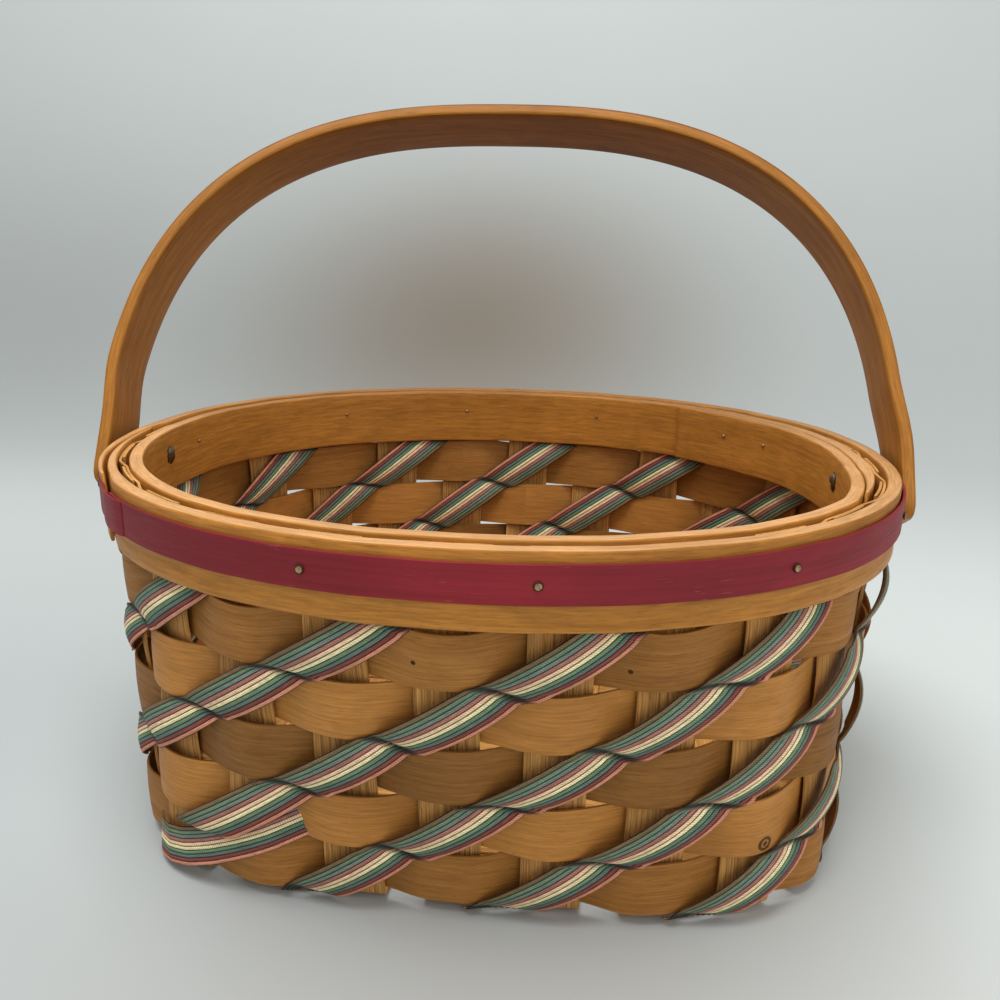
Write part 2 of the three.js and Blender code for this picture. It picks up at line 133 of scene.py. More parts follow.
class BasketRim(bpy.types.PropertyGroup):
    """Sizes of the hoops, the trim strip, the handle and what fastens them."""

    rim_length: length("Rim length", "Over the outer hoop", 0.305)
    rim_width: length("Rim width", "Over the outer hoop", 0.249)
    rim_height: length("Rim height", "Top of the hoops", 0.142)
    rim_round: share("Rim roundness", "1 is an ellipse, and less is squarer", 0.943)
    hoop_height: length("Hoop height", "Height of a hoop", 0.0254)
    hoop_thickness: length("Hoop thickness", "Thickness of a hoop", 0.005)
    hoop_tip: share("Hoop tip", "Share of the thickness left at a planed end", 0.26)
    hoop_spring: length("Hoop spring", "How far the outer end's top edge has sprung out", 0.0011)
    trim_width: length("Trim width", "Width of the painted strip", 0.0125)
    trim_drop: length("Trim drop", "From the rim's top to the strip", 0.0035)
    trim_thickness: length("Trim thickness", "Thickness of the painted strip", 0.0011)
    handle_width: length("Handle width", "Width of the bow", 0.0254)
    handle_thickness: length("Handle thickness", "Thickness of the bow", 0.005)
    handle_height: length("Handle height", "From the pins to the top of the bow", 0.157)
    handle_round: share("Handle roundness", "1 is an ellipse, and less is squarer", 0.775)
    handle_gap: length("Handle gap", "Between the bow and the trim", 0.0028)
    handle_aside: length("Handle aside", "How far to the left the bow sits on its pins", 0.002)
    handle_bend: length("Handle bend", "How much further to the left it bends above them", 0.0027)
    bend_height: length("Bend height", "From the pins to the end of that bend", 0.04)
    handle_tail: length("Handle tail", "Below the pins", 0.016)
    handle_lean: FloatProperty(
        name="Handle lean",
        description="How far the bow stands back",
        default=math.radians(29.3),
        unit="ROTATION",
    )
    pin_drop: length("Pin drop", "From the rim's top to the pins", 0.009)
    pin_radius: length("Pin radius", "Radius of a pin", 0.002)
    pin_head: length("Pin head", "Radius of a pin's head", 0.0046)
    pin_rise: length("Pin rise", "Height of a pin's head", 0.0016)
    nail_radius: length("Nail radius", "Radius of a nail", 0.0007)
    nail_head: length("Nail head", "Radius of a nail's head", 0.0015)
    nail_rise: length("Nail rise", "Height of a nail's head", 0.0006)


class BasketBands(bpy.types.PropertyGroup):
    """Sizes of the cord bands."""

    width: length("Band width", "Width of a band where it lies flat", 0.014)
    thickness: length("Band thickness", "Thickness of a band between its cords", 0.0005)
    cord: length("Cord height", "How far a cord stands proud of the band", 0.0004)
    cords: IntProperty(name="Cords", description="Cords side by side in a band", default=10)
    pinch: share("Pinch", "Share of the width left where a band is tucked in", 0.9)
    tilt: FloatProperty(
        name="Fold tilt",
        description="How far the folds where a band is tucked in are off level",
        default=math.radians(11),
        unit="ROTATION",
    )
    tuck: length("Tuck", "From the wall's middle to a tucked band", 0.0009)
    rise: length("Rise", "From the wall's middle to a band over a splint", 0.0054)
    step: length("Step", "How far a band steps sideways at each tuck", 0.0034)
    loose: length("Looseness", "How much further a band stands out at the right end", 0.0034)


class BasketColours(bpy.types.PropertyGroup):
    """Finishes, as they look in plain light."""

    splint: tint("Splint", "Upright splints", 206, 151, 84)
    gold: tint("Golden weaver", "Lighter weavers", 188, 129, 62)
    brown: tint("Brown weaver", "Darker weavers", 161, 109, 50)
    hoop: tint("Hoop", "Rim hoops", 188, 126, 52)
    hoop_edge: tint("Hoop edge", "Planed edges of the hoops", 212, 160, 106)
    handle: tint("Handle", "Bow handle", 160, 104, 36)
    stain: tint("Stain", "Painted trim strip", 133, 27, 37)
    backing: tint("Backing", "Underside of the cord bands", 176, 128, 78)
    steel: tint("Pin", "Handle pins", 120, 105, 92)
    brass: tint("Nail", "Rim nails", 176, 140, 104)
    stage: tint("Studio", "Floor and backdrop", 216, 221, 218)


class Oval:
    """A squared oval. A share of the way round starts in the middle of the front, counter-clockwise."""

    def __init__(self, long_side, short_side, roundness):
        self.half = (long_side / 2, short_side / 2)
        self.power = 2 / roundness
        self.shares = np.linspace(0, 1, 1441)
        reach = np.diff(self.raw(self.shares), axis=0)
        self.run = np.concatenate([[0], np.cumsum(np.linalg.norm(reach, axis=1))])
        self.girth = self.run[-1]

    def raw(self, turned):
        angle = 2 * np.pi * turned - np.pi / 2
        cosine, sine = np.cos(angle), np.sin(angle)
        reach = np.abs(cosine / self.half[0]) ** self.power + np.abs(sine / self.half[1]) ** self.power
        radius = reach ** (-1 / self.power)
        return np.stack([radius * cosine, radius * sine, np.zeros_like(radius)], -1)

    def at(self, shares):
        return self.raw(np.interp((shares % 1) * self.girth, self.run, self.shares))


def unit(vectors):
    return vectors / np.linalg.norm(vectors, axis=-1, keepdims=True)


def ease(value):
    value = np.clip(value, 0, 1)
    return value * value * (3 - 2 * value)


class Wall:
    """The middle surface of the wall, which the upright splints lie in, and the levels that follow."""

    def __init__(self, scene):
        weave, rim = scene.basket_weave, scene.basket_rim
        self.weave, self.rim = weave, rim
        self.offset = (weave.splint_thickness + weave.weaver_thickness) / 2 + weave.fit
        half = self.offset + weave.weaver_thickness / 2
        self.clamp = half + weave.fit
        self.hoop_outside = self.clamp + rim.hoop_thickness
        self.hoop_bottom = rim.rim_height - rim.hoop_height
        self.floor = self.offset + weave.splint_thickness / 2
        self.fold_top = self.floor + weave.fold
        self.row_start = self.floor + weave.fold * weave.seat
        self.pitch = (self.hoop_bottom - weave.row_gap - self.row_start) / weave.rows
        self.trim_inside = self.hoop_outside + 2 * weave.fit
        self.trim_top = rim.rim_height - rim.trim_drop
        self.nail_level = self.trim_top - rim.trim_width / 2
        self.pin_level = rim.rim_height - rim.pin_drop
        self.stakes = 2 * (weave.cross_count + weave.long_count)
        self.stations = 3 * self.stakes
        self.step = 0.2 / self.stakes
        inset = 2 * self.hoop_outside
        self.top = Oval(rim.rim_length - inset, rim.rim_width - inset, rim.rim_round)
        self.foot = Oval(weave.base_length - 2 * half, weave.base_width - 2 * half, weave.base_round)

    def climb(self, level):
        return np.clip((level - self.floor) / (self.hoop_bottom - self.floor), 0, 1)

    def girth(self, level):
        return self.foot.girth + (self.top.girth - self.foot.girth) * self.climb(level)

    def point(self, shares, level):
        shares, level = np.broadcast_arrays(shares, level)
        climb = self.climb(level)[..., None]
        points = self.foot.at(shares) * (1 - climb) + self.top.at(shares) * climb
        points[..., 2] = level
        return points

    def normal(self, shares, level):
        along = self.point(shares + self.step, level) - self.point(shares - self.step, level)
        middle = np.minimum(level, self.hoop_bottom - self.weave.fold)
        rise = self.point(shares, middle + self.weave.fold) - self.point(shares, middle)
        return unit(np.cross(along, rise))

    def layer(self, shares, level, offset):
        """A point off the wall's middle surface, outwards."""
        offset = np.asarray(offset)[..., None]
        return self.point(shares, level) + self.normal(shares, level) * offset

    def rim_normal(self, shares):
        along = self.top.at(shares + self.step) - self.top.at(shares - self.step)
        return unit(np.cross(along, (0, 0, 1)))

    def rim_layer(self, shares, level, offset):
        """The same behind the hoops, where the wall stands upright."""
        shares, level, offset = np.broadcast_arrays(shares, level, offset)
        points = self.top.at(shares) + self.rim_normal(shares) * offset[..., None]
        points[..., 2] = level
        return points

    def stake_share(self, stake):
        return stake / self.stakes + self.weave.turn

    def station_share(self, stations):
        """Stations lie at both edges and the middle of each stake. They may be fractions."""
        whole = np.arange(-1, 3 * self.stations + 2)
        side = (whole + 1) % 3 - 1
        reach = (self.weave.splint_width / 2 + 0.001) / self.top.girth
        return np.interp(stations, whole, self.stake_share((whole + 1) // 3) + side * reach)

    def wander(self, shares, seed, size):
        """A smooth stray that closes on itself once round."""
        chance = np.random.RandomState(seed)
        total = np.zeros_like(shares)
        for turns in (3, 5, 8, 13, 21, 34):
            total = total + chance.uniform(-1, 1) * np.sin(2 * np.pi * (turns * shares + chance.uniform()))
        return size * total / 2


def run_along(points):
    """Distance along a line of points, from its first one."""
    steps = np.linalg.norm(np.diff(points, axis=0), axis=1)
    return np.concatenate([[0], np.cumsum(steps)])


def mesh_of(bm, name):
    """Turns finished faces into a mesh."""
    mesh = bpy.data.meshes.new(name)
    bm.to_mesh(mesh)
    bm.free()
    return mesh


def sheet_mesh(name, points, along, across, edge_columns=(), closed=False, capped=False, marks=None):
    """Bends a flat grid to points[column][row] and lays its grain map along it, in metres."""
    columns, rows = points.shape[0] - 1, points.shape[1] - 1
    bm = bmesh.new()
    bm.loops.layers.uv.new(GRAIN_MAP)
    bmesh.ops.create_grid(bm, x_segments=rows, y_segments=columns, size=0.5, calc_uvs=True)
    mesh = mesh_of(bm, name)
    flat = np.empty(3 * len(mesh.vertices))
    mesh.vertices.foreach_get("co", flat)
    flat = flat.reshape(-1, 3)
    place = (flat - flat.min(0)) / np.maximum(np.ptp(flat, axis=0), 1e-9)
    row = np.rint(place[:, 0] * rows).astype(int)
    column = np.rint(place[:, 1] * columns).astype(int)
    mesh.vertices.foreach_set("co", points[column, row].ravel())
    corner = np.empty(len(mesh.loops), int)
    mesh.loops.foreach_get("vertex_index", corner)
    grain = np.stack([along[row[corner]], across[column[corner]]], -1)
    mesh.uv_layers[GRAIN_MAP].data.foreach_set("uv", grain.ravel())
    # Marks give each row a weight of painted shade, which the finish reads.
    if marks is not None:
        mesh.attributes.new(SHADE_MARK, "FLOAT", "POINT").data.foreach_set("value", marks[row])
    if edge_columns:
        lowest = column[corner.reshape(-1, 4)].min(1)
        on_edge = np.isin(lowest, edge_columns).astype(int)
        mesh.polygons.foreach_set("material_index", on_edge)
    if closed or capped:
        bm = bmesh.new()
        bm.from_mesh(mesh)
        bmesh.ops.remove_doubles(bm, verts=bm.verts, dist=1e-6)
        if capped:
            open_edges = [edge for edge in bm.edges if edge.is_boundary]
            bmesh.ops.holes_fill(bm, edges=open_edges, sides=0)
            bmesh.ops.recalc_face_normals(bm, faces=bm.faces)
        bm.to_mesh(mesh)
        bm.free()
    mesh.update()
    return mesh


def show(name, mesh, materials):
    """Adds a piece to the scene, smooth and in its finishes."""
    piece = bpy.data.objects.new(name, mesh)
    bpy.context.scene.collection.objects.link(piece)
    for material in materials:
        mesh.materials.append(material)
    mesh.polygons.foreach_set("use_smooth", [True] * len(mesh.polygons))
    return piece


def put(name, mesh, materials, nodes, body="basket"):
    """Shows a finished piece, on its body and in place of its plain solids."""
    piece = show(name, mesh, materials)
    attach(piece, body)
    if nodes:
        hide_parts(*nodes)
    return piece


def thicken(piece, thickness, ease_edges, rim_slot=1, back_slot=0):
    """Gives a sheet its thickness about its middle, with eased edges of their own finish."""
    wall = piece.modifiers.new("Thickness", "SOLIDIFY")
    wall.thickness = thickness
    wall.offset = 0
    wall.use_even_offset = False
    wall.material_offset = back_slot
    wall.material_offset_rim = rim_slot
    if ease_edges:
        bevel = piece.modifiers.new("Eased edges", "BEVEL")
        bevel.width = ease_edges
        bevel.segments = 2
        bevel.limit_method = "ANGLE"
        bevel.angle_limit = math.radians(50)
        bevel.harden_normals = True


def bar_section(width, depth, radius):
    """A rectangle with rounded corners, across and through a bar, for each of its rows."""
    spots = []
    for quarter, (side, face) in enumerate(((0, 1), (1, 0), (0, -1), (-1, 0))):
        for step in np.linspace(-1, 1, 3 if side else 7):
            spots.append((side + face * step, face - side * step, side, face))
        for turn in np.radians([90 * quarter + 30, 90 * quarter + 60]):
            spots.append((side + face, face - side, math.sin(turn), math.cos(turn)))
    spots.append(spots[0])
    side, face, round_side, round_face = np.array(spots, float).T[:, :, None]
    radius = np.minimum(radius, 0.48 * np.minimum(width, depth))
    across = side * (width / 2 - radius) + round_side * radius
    through = face * (depth / 2 - radius) + round_face * radius
    return across, through


NARROW_SIDES = (8, 9, 10, 11, 21, 22, 23, 24)


def bar_mesh(name, middle, width, depth, radius, place, grain_start=0, marks=None):
    """A bent bar. The place function gets how far across and through it a point lies, [column][row]."""
    across, through = bar_section(width, depth, radius)
    points = place(across, through)
    around = run_along(np.stack([across, through], -1)[:, len(middle) // 2])
    along = run_along(middle) + grain_start
    return sheet_mesh(name, points, along, around, NARROW_SIDES, capped=True, marks=marks)


def node(tree, kind, inputs=None, **settings):
    """Adds a node. An input takes a value, or a socket to link."""
    made = tree.nodes.new(kind)
    for key, value in settings.items():
        setattr(made, key, value)
    for key, value in (inputs or {}).items():
        socket = made.inputs[key]
        if isinstance(value, bpy.types.NodeSocket):
            tree.links.new(value, socket)
        else:
            socket.default_value = value
    return made


def maths(tree, operation, first, second=0.0):
    return node(tree, "ShaderNodeMath", {0: first, 1: second}, operation=operation).outputs[0]


def vectors(tree, operation, first, second=(0, 0, 0), result=0):
    return node(tree, "ShaderNodeVectorMath", {0: first, 1: second}, operation=operation).outputs[result]


def remap(tree, value, low, high, to_low=0.0, to_high=1.0):
    """A value eased from one range to another."""
    inputs = {"Value": value, 1: low, 2: high, 3: to_low, 4: to_high}
    return node(tree, "ShaderNodeMapRange", inputs, interpolation_type="SMOOTHSTEP").outputs[0]


def mixed(tree, factor, first, second, mode="MIX"):
    inputs = {0: factor, 6: first, 7: second}
    return node(tree, "ShaderNodeMix", inputs, data_type="RGBA", blend_type=mode).outputs[2]


def times(tree, colour, factor):
    return mixed(tree, 1.0, colour, factor, "MULTIPLY")


def ramped(tree, value, stops, constant=False):
    """A colour picked by a value, from stops of a position and a colour."""
    made = node(tree, "ShaderNodeValToRGB", {"Fac": value})
    ramp = made.color_ramp
    ramp.interpolation = "CONSTANT" if constant else "LINEAR"
    while len(ramp.elements) < len(stops):
        ramp.elements.new(0.5)
    for element, (position, _) in zip(ramp.elements, stops):
        element.position = position
    for element, (_, colour) in zip(ramp.elements, stops):
        element.color = colour
    return made.outputs["Color"]


def noise(tree, vector, scale=1.0, detail=4.0, roughness=0.5, distortion=0.0):
    inputs = {
        "Vector": vector,
        "Scale": scale,
        "Detail": detail,
        "Roughness": roughness,
        "Distortion": distortion,
    }
    return node(tree, "ShaderNodeTexNoise", inputs).outputs[0]


def stretched(tree, vector, along, across):
    """A place scaled along and across the grain."""
    scale = node(tree, "ShaderNodeCombineXYZ", {0: along, 1: across, 2: 1.0}).outputs[0]
    return vectors(tree, "MULTIPLY", vector, scale)


def grain_place(tree):
    return node(tree, "ShaderNodeUVMap", uv_map=GRAIN_MAP).outputs[0]


# How much painted shade a point gets, read from its piece's attribute.
def painted_shade_weight(tree):
    return node(tree, "ShaderNodeAttribute", attribute_name=SHADE_MARK).outputs["Fac"]


def toned(colour, factor, warmth=0.0):
    """A darker or lighter neighbour of a colour. Warmth takes blue away."""
    red, green, blue = colour
    warm = (red * factor, green * factor * (1 - warmth * 0.35), blue * factor * (1 - warmth))
    return (*[min(value, 1) for value in warm], 1)


NUMBER, VECTOR = "NodeSocketFloat", "NodeSocketVector"


def new_group(name, inputs, outputs):
    """Starts a node group with named inputs and outputs, and gives what comes in."""
    tree = bpy.data.node_groups.new(name, "ShaderNodeTree")
    for title, kind, default in inputs:
        socket = tree.interface.new_socket(title, in_out="INPUT", socket_type=kind)
        if default is not None:
            socket.default_value = default
    for title in outputs:
        tree.interface.new_socket(title, in_out="OUTPUT", socket_type=NUMBER)
    return tree, tree.nodes.new("NodeGroupInput").outputs


def grain_group(name):
    """Wood grain that runs along a strip: broad streaks, fine fibres, and slow changes of tone."""
    inputs = [("Vector", VECTOR, None), ("Along", NUMBER, 12.0), ("Across", NUMBER, 300.0)]
    tree, given = new_group(name, inputs, ["Streaks", "Fibres", "Tone", "Flecks"])
    where, along, across = given["Vector"], given["Along"], given["Across"]
    drift = noise(tree, stretched(tree, where, 5.0, 22.0), detail=2.0)
    bend = node(tree, "ShaderNodeCombineXYZ", {0: 0.0, 1: maths(tree, "MULTIPLY", drift, 1.6), 2: 0.0})
    bent = vectors(tree, "ADD", stretched(tree, where, along, across), bend.outputs[0])
    fine_along, fine_across = maths(tree, "MULTIPLY", along, 8.0), maths(tree, "MULTIPLY", across, 3.4)
    fleck = noise(tree, stretched(tree, where, 150.0, 1300.0), detail=2.0, roughness=0.6)
    results = {
        "Streaks": noise(tree, bent, 1.0, 5.0, 0.62, 0.25),
        "Fibres": noise(tree, stretched(tree, where, fine_along, fine_across), 1.0, 3.0, 0.7),
        "Tone": noise(tree, stretched(tree, where, 11.0, 22.0), 1.0, 3.0, 0.55, 0.4),
        "Flecks": remap(tree, fleck, 0.58, 0.72),
    }
    node(tree, "NodeGroupOutput", results)
    return tree


def wear_group(name):
    """Handling marks: soft dark smudges and rare thin scratches."""
    tree, given = new_group(name, [("Vector", VECTOR, None)], ["Smudges", "Scratches"])
    where = given["Vector"]
    smudge = noise(tree, where, 55.0, 4.0, 0.6, 0.8)
    scratch = noise(tree, stretched(tree, where, 60.0, 900.0), 1.0, 1.0, 0.5, 2.2)
    rare = remap(tree, noise(tree, where, 40.0, 1.0), 0.5, 0.6)
    results = {
        "Smudges": remap(tree, smudge, 0.5, 0.78),
        "Scratches": maths(tree, "MULTIPLY", remap(tree, scratch, 0.68, 0.7), rare),
    }
    node(tree, "NodeGroupOutput", results)
    return tree


def knot_group(name):
    """A knot: a dark heart in a dark ring."""
    inputs = [("Vector", VECTOR, None), ("Place", VECTOR, None)]
    inputs += [("Size", NUMBER, 0.002), ("Heart", NUMBER, 0.4)]
    tree, given = new_group(name, inputs, ["Mask"])
    ragged = maths(tree, "MULTIPLY", noise(tree, given["Vector"], 900.0, 2.0), 0.35)
    away = vectors(tree, "DISTANCE", given["Vector"], given["Place"], "Value")
    far = maths(tree, "ADD", maths(tree, "DIVIDE", away, given["Size"]), ragged)
    ring = maths(tree, "ABSOLUTE", maths(tree, "SUBTRACT", far, 0.98))
    heart = remap(tree, far, given["Heart"], maths(tree, "ADD", given["Heart"], 0.3), 1.0, 0.0)
    mask = maths(tree, "MAXIMUM", remap(tree, ring, 0.1, 0.36, 0.95, 0.0), heart)
    node(tree, "NodeGroupOutput", {"Mask": mask})
    return tree


NODE_GROUPS = {"Wood grain": grain_group, "Wear": wear_group, "Knot": knot_group}


def grouped(tree, name, **inputs):
    """Uses a node group, which is made the first time that it is asked for."""
    group = bpy.data.node_groups.get(name) or NODE_GROUPS[name](name)
    return node(tree, "ShaderNodeGroup", inputs, node_tree=group).outputs


def new_finish(name):
    material = bpy.data.materials.new(name)
    material.use_nodes = True
    tree = material.node_tree
    return material, tree, tree.nodes["Principled BSDF"]


def dress(tree, shader, shade, rough, height, strength, distance):
    """Gives the shader its colour, its roughness and its relief."""
    relief = {"Strength": strength, "Distance": distance, "Height": height}
    lift = node(tree, "ShaderNodeBump", relief).outputs[0]
    for name, socket in (("Base Color", shade), ("Roughness", rough), ("Normal", lift)):
        tree.links.new(socket, shader.inputs[name])


def wood_finish(
    name,
    colour,
    along=12.0,
    across=300.0,
    contrast=1.0,
    ribs=0.0,
    bump=0.25,
    gloss=0.5,
    spread=0.3,
    knots=(),
    painted_shade_depth=0.0,
):
    """Wood in a clear finish. Ribs are the open lines of coarse split wood. Painted shade darkens and warms
    a piece where its shade attribute is set.
    """
    material, tree, shader = new_finish(name)
    where = grain_place(tree)
    grain = grouped(tree, "Wood grain", Vector=where, Along=along, Across=across)
    wear = grouped(tree, "Wear", Vector=where)
    stops = [
        (0.5 - 0.22 / contrast, toned(colour, 1 - 0.42 * contrast, 0.3)),
        (0.5 - 0.06 / contrast, toned(colour, 1 - 0.12 * contrast, 0.12)),
        (0.5 + 0.05 / contrast, toned(colour, 1.06)),
        (0.5 + 0.22 / contrast, toned(colour, 1 + 0.28 * contrast, -0.1)),
    ]
    shade = ramped(tree, grain["Streaks"], stops)
    fibres = remap(tree, grain["Fibres"], 0.3, 0.72, 0.9 - 0.24 * contrast, 1.06 + 0.2 * contrast)
    shade = times(tree, shade, fibres)
    stops = [
        (0.3, (1 - spread, 1 - 1.15 * spread, 1 - 1.35 * spread, 1)),
        (0.5, (1, 1, 1, 1)),
        (0.72, (1 + 0.5 * spread,) * 3 + (1,)),
    ]
    shade = times(tree, shade, ramped(tree, grain["Tone"], stops))
    flecked = maths(tree, "MULTIPLY", grain["Flecks"], 0.2 + 0.3 * contrast)
    shade = mixed(tree, flecked, shade, toned(colour, 0.3, 0.3))
    smudged = maths(tree, "MULTIPLY", wear["Smudges"], 0.22)
    shade = mixed(tree, smudged, shade, toned(colour, 0.45, 0.3))
    # Painted shade: where the piece's shade attribute is set, its colour is made darker and warmer.
    if painted_shade_depth:
        shade_tint = (1 - painted_shade_depth, 1 - 1.25 * painted_shade_depth, 1 - 1.75 * painted_shade_depth, 1)
        shade = times(tree, shade, mixed(tree, remap(tree, painted_shade_weight(tree), 0.0, 1.0), (1, 1, 1, 1), shade_tint))
    for run, up, size, heart in knots:
        knot = grouped(tree, "Knot", Vector=where, Place=(run, up, 0), Size=size, Heart=heart)
        shade = mixed(tree, knot["Mask"], shade, toned(colour, 0.12, 0.4))
    height = maths(tree, "ADD", maths(tree, "MULTIPLY", grain["Fibres"], 0.6), grain["Streaks"])
    if ribs:
        line = noise(tree, stretched(tree, where, 5.0, 1700.0), 1.0, 2.0, 0.6, 0.1)
        shade = times(tree, shade, remap(tree, line, 0.32, 0.55, 1 - ribs, 1.08))
        height = maths(tree, "ADD", height, maths(tree, "MULTIPLY", remap(tree, line, 0.36, 0.5), 1.6))
    rough = remap(tree, grain["Streaks"], 0.3, 0.7, gloss + 0.12, gloss - 0.06)
    dress(tree, shader, shade, rough, height, bump, 0.0006)
    shader.inputs["Specular IOR Level"].default_value = 0.22
    return material


WEAVER_TONES = (1.08, 1.04, 0.8, 1.04, 1.06)


def weaver_finish(row, knots):
    """Every row was cut from its own piece of wood, brown and golden by turns."""
    colours = bpy.context.scene.basket_colours
    if row % 2:
        colour, figure = colours.gold, (8.0, 330.0, 0.34, 0, 0.14, 0.5, 0.24)
    else:
        colour, figure = colours.brown, (9.0, 430.0, 0.5, 0, 0.26, 0.54, 0.26)
    return wood_finish(f"Weaver wood {row + 1}", toned(colour, WEAVER_TONES[row])[:3], *figure, knots)


def stain_finish(colour):
    """Burgundy stain, with the grain through it and scratches down to the wood."""
    _, tree, shader = new_finish("Stained strip")
    where = grain_place(tree)
    grain = grouped(tree, "Wood grain", Vector=where, Along=9.0, Across=420.0)
    wear = grouped(tree, "Wear", Vector=where)
    stops = [(0.32, toned(colour, 0.84)), (0.5, toned(colour, 1.0)), (0.7, toned(colour, 1.14))]
    shade = ramped(tree, grain["Streaks"], stops)
    shade = times(tree, shade, remap(tree, grain["Tone"], 0.3, 0.7, 0.8, 1.16))
    bare_wood = (0.3, 0.1, 0.06, 1)
    shade = mixed(tree, maths(tree, "MULTIPLY", wear["Scratches"], 0.4), shade, bare_wood)
    rough = remap(tree, grain["Fibres"], 0.3, 0.7, 0.62, 0.5)
    height = maths(tree, "ADD", grain["Fibres"], grain["Streaks"])
    dress(tree, shader, shade, rough, height, 0.22, 0.0005)
    shader.inputs["Specular IOR Level"].default_value = 0.3


CORD_COLOURS = (
    (122, 98, 66),
    (110, 136, 106),
    (118, 132, 120),
    (170, 112, 96),
    (246, 206, 166),
    (248, 232, 180),
    (110, 138, 104),
    (98, 118, 108),
    (134, 66, 54),
    (212, 140, 110),
)
TWISTS = 6900.0


def band_finish():
    """Twisted cords side by side, each in its colour, glued into a flat band. The creases get painted shade.
    """
    _, tree, shader = new_finish("Striped cord")
    where = grain_place(tree)
    parts = node(tree, "ShaderNodeSeparateXYZ", {0: where})
    along, across = parts.outputs[0], parts.outputs[1]
    count = len(CORD_COLOURS)
    stops = [(k / count, (*[linear(value) for value in colour], 1)) for k, colour in enumerate(CORD_COLOURS)]
    shade = ramped(tree, across, stops, constant=True)
    cord = maths(tree, "FRACT", maths(tree, "MULTIPLY", across, float(count)))
    edge = maths(tree, "ABSOLUTE", maths(tree, "SUBTRACT", cord, 0.5))
    seam = remap(tree, edge, 0.26, 0.42, 1.0, 0.07)
    shade = times(tree, shade, seam)
    leant = maths(tree, "ADD", along, maths(tree, "MULTIPLY", edge, 0.0006))
    twist = maths(tree, "SINE", maths(tree, "MULTIPLY", leant, TWISTS))
    shade = times(tree, shade, remap(tree, twist, -1.0, 1.0, 0.74, 1.1))
    fade = noise(tree, stretched(tree, where, 60.0, 9.0), 1.0, 3.0, 0.6)
    shade = times(tree, shade, remap(tree, fade, 0.3, 0.7, 0.96, 1.26))
    yarn = noise(tree, stretched(tree, where, 420.0, 46.0), 1.0, 3.0, 0.7)
    shade = times(tree, shade, remap(tree, yarn, 0.3, 0.7, 0.74, 1.2))
    # Painted shade in the creases where the band is tucked in.
    shade = times(tree, shade, remap(tree, painted_shade_weight(tree), 0.0, 1.0, 1.0, 0.14))
    height = maths(tree, "ADD", maths(tree, "MULTIPLY", twist, 0.35), seam)
    dress(tree, shader, shade, remap(tree, fade, 0.3, 0.7, 0.78, 0.68), height, 0.5, 0.0003)


def metal_finish(name, colour, rough):
    """Metal that has dulled, with dark specks."""
    _, tree, shader = new_finish(name)
    spots = noise(tree, node(tree, "ShaderNodeTexCoord").outputs["Object"], 900.0, 4.0, 0.65)
    stops = [(0.35, toned(colour, 0.45)), (0.55, toned(colour, 1)), (0.75, toned(colour, 1.3))]
    shade = ramped(tree, spots, stops)
    dress(tree, shader, shade, remap(tree, spots, 0.3, 0.7, rough + 0.15, rough - 0.1), spots, 0.3, 0.0002)
    shader.inputs["Metallic"].default_value = 0.75


def finishes():
    """All finishes of the basket, made once."""
    made = bpy.data.materials
    if "Splint" in made:
        return made
    colours = bpy.context.scene.basket_colours
    splint_edge, torn = toned(colours.splint, 0.96)[:3], toned(colours.brown, 0.26)[:3]
    weaver_edge, handle_edge = toned(colours.gold, 0.8)[:3], toned(colours.handle, 1.1)[:3]
    wood_finish("Splint", colours.splint, 7.0, 420.0, 0.7, ribs=0.36, bump=0.5, gloss=0.62, spread=0.2)
    wood_finish("Splint edge", splint_edge, 9.0, 500.0, 0.6, bump=0.4, gloss=0.7)
    wood_finish("Golden weaver", colours.gold, 10.0, 330.0, 0.4, bump=0.16, spread=0.16)
    wood_finish("Torn wood", torn, 300.0, 900.0, bump=0.6, gloss=0.8)
    wood_finish("Weaver edge", weaver_edge, 9.0, 500.0, 0.7, bump=0.3, gloss=0.7)
    wood_finish("Hoop", colours.hoop, 9.0, 230.0, 0.5, bump=0.14, gloss=0.44, spread=0.2)
    # The hoops' edges get painted shade towards the back of the rim.
    wood_finish("Hoop edge", colours.hoop_edge, 9.0, 420.0, 0.5, bump=0.2, spread=0.14, painted_shade_depth=0.42)
    # The bow's faces get painted shade towards its top.
    wood_finish("Handle", colours.handle, 7.0, 220.0, 0.45, bump=0.12, gloss=0.42, spread=0.2, painted_shade_depth=0.46)
    wood_finish("Handle edge", handle_edge, 8.0, 420.0, 0.5, bump=0.16, gloss=0.46, spread=0.16)
    wood_finish("Cord backing", colours.backing, 60.0, 900.0, 0.6, bump=0.4, gloss=0.75)
    stain_finish(colours.stain)
    band_finish()
    metal_finish("Steel pin", colours.steel, 0.42)
    metal_finish("Brass nail", colours.brass, 0.4)
    # A dark metal, used as painted shade round the rims of the pin and nail heads.
    metal_finish("Head rim shade", toned(colours.brass, 0.14)[:3], 0.6)
    return made


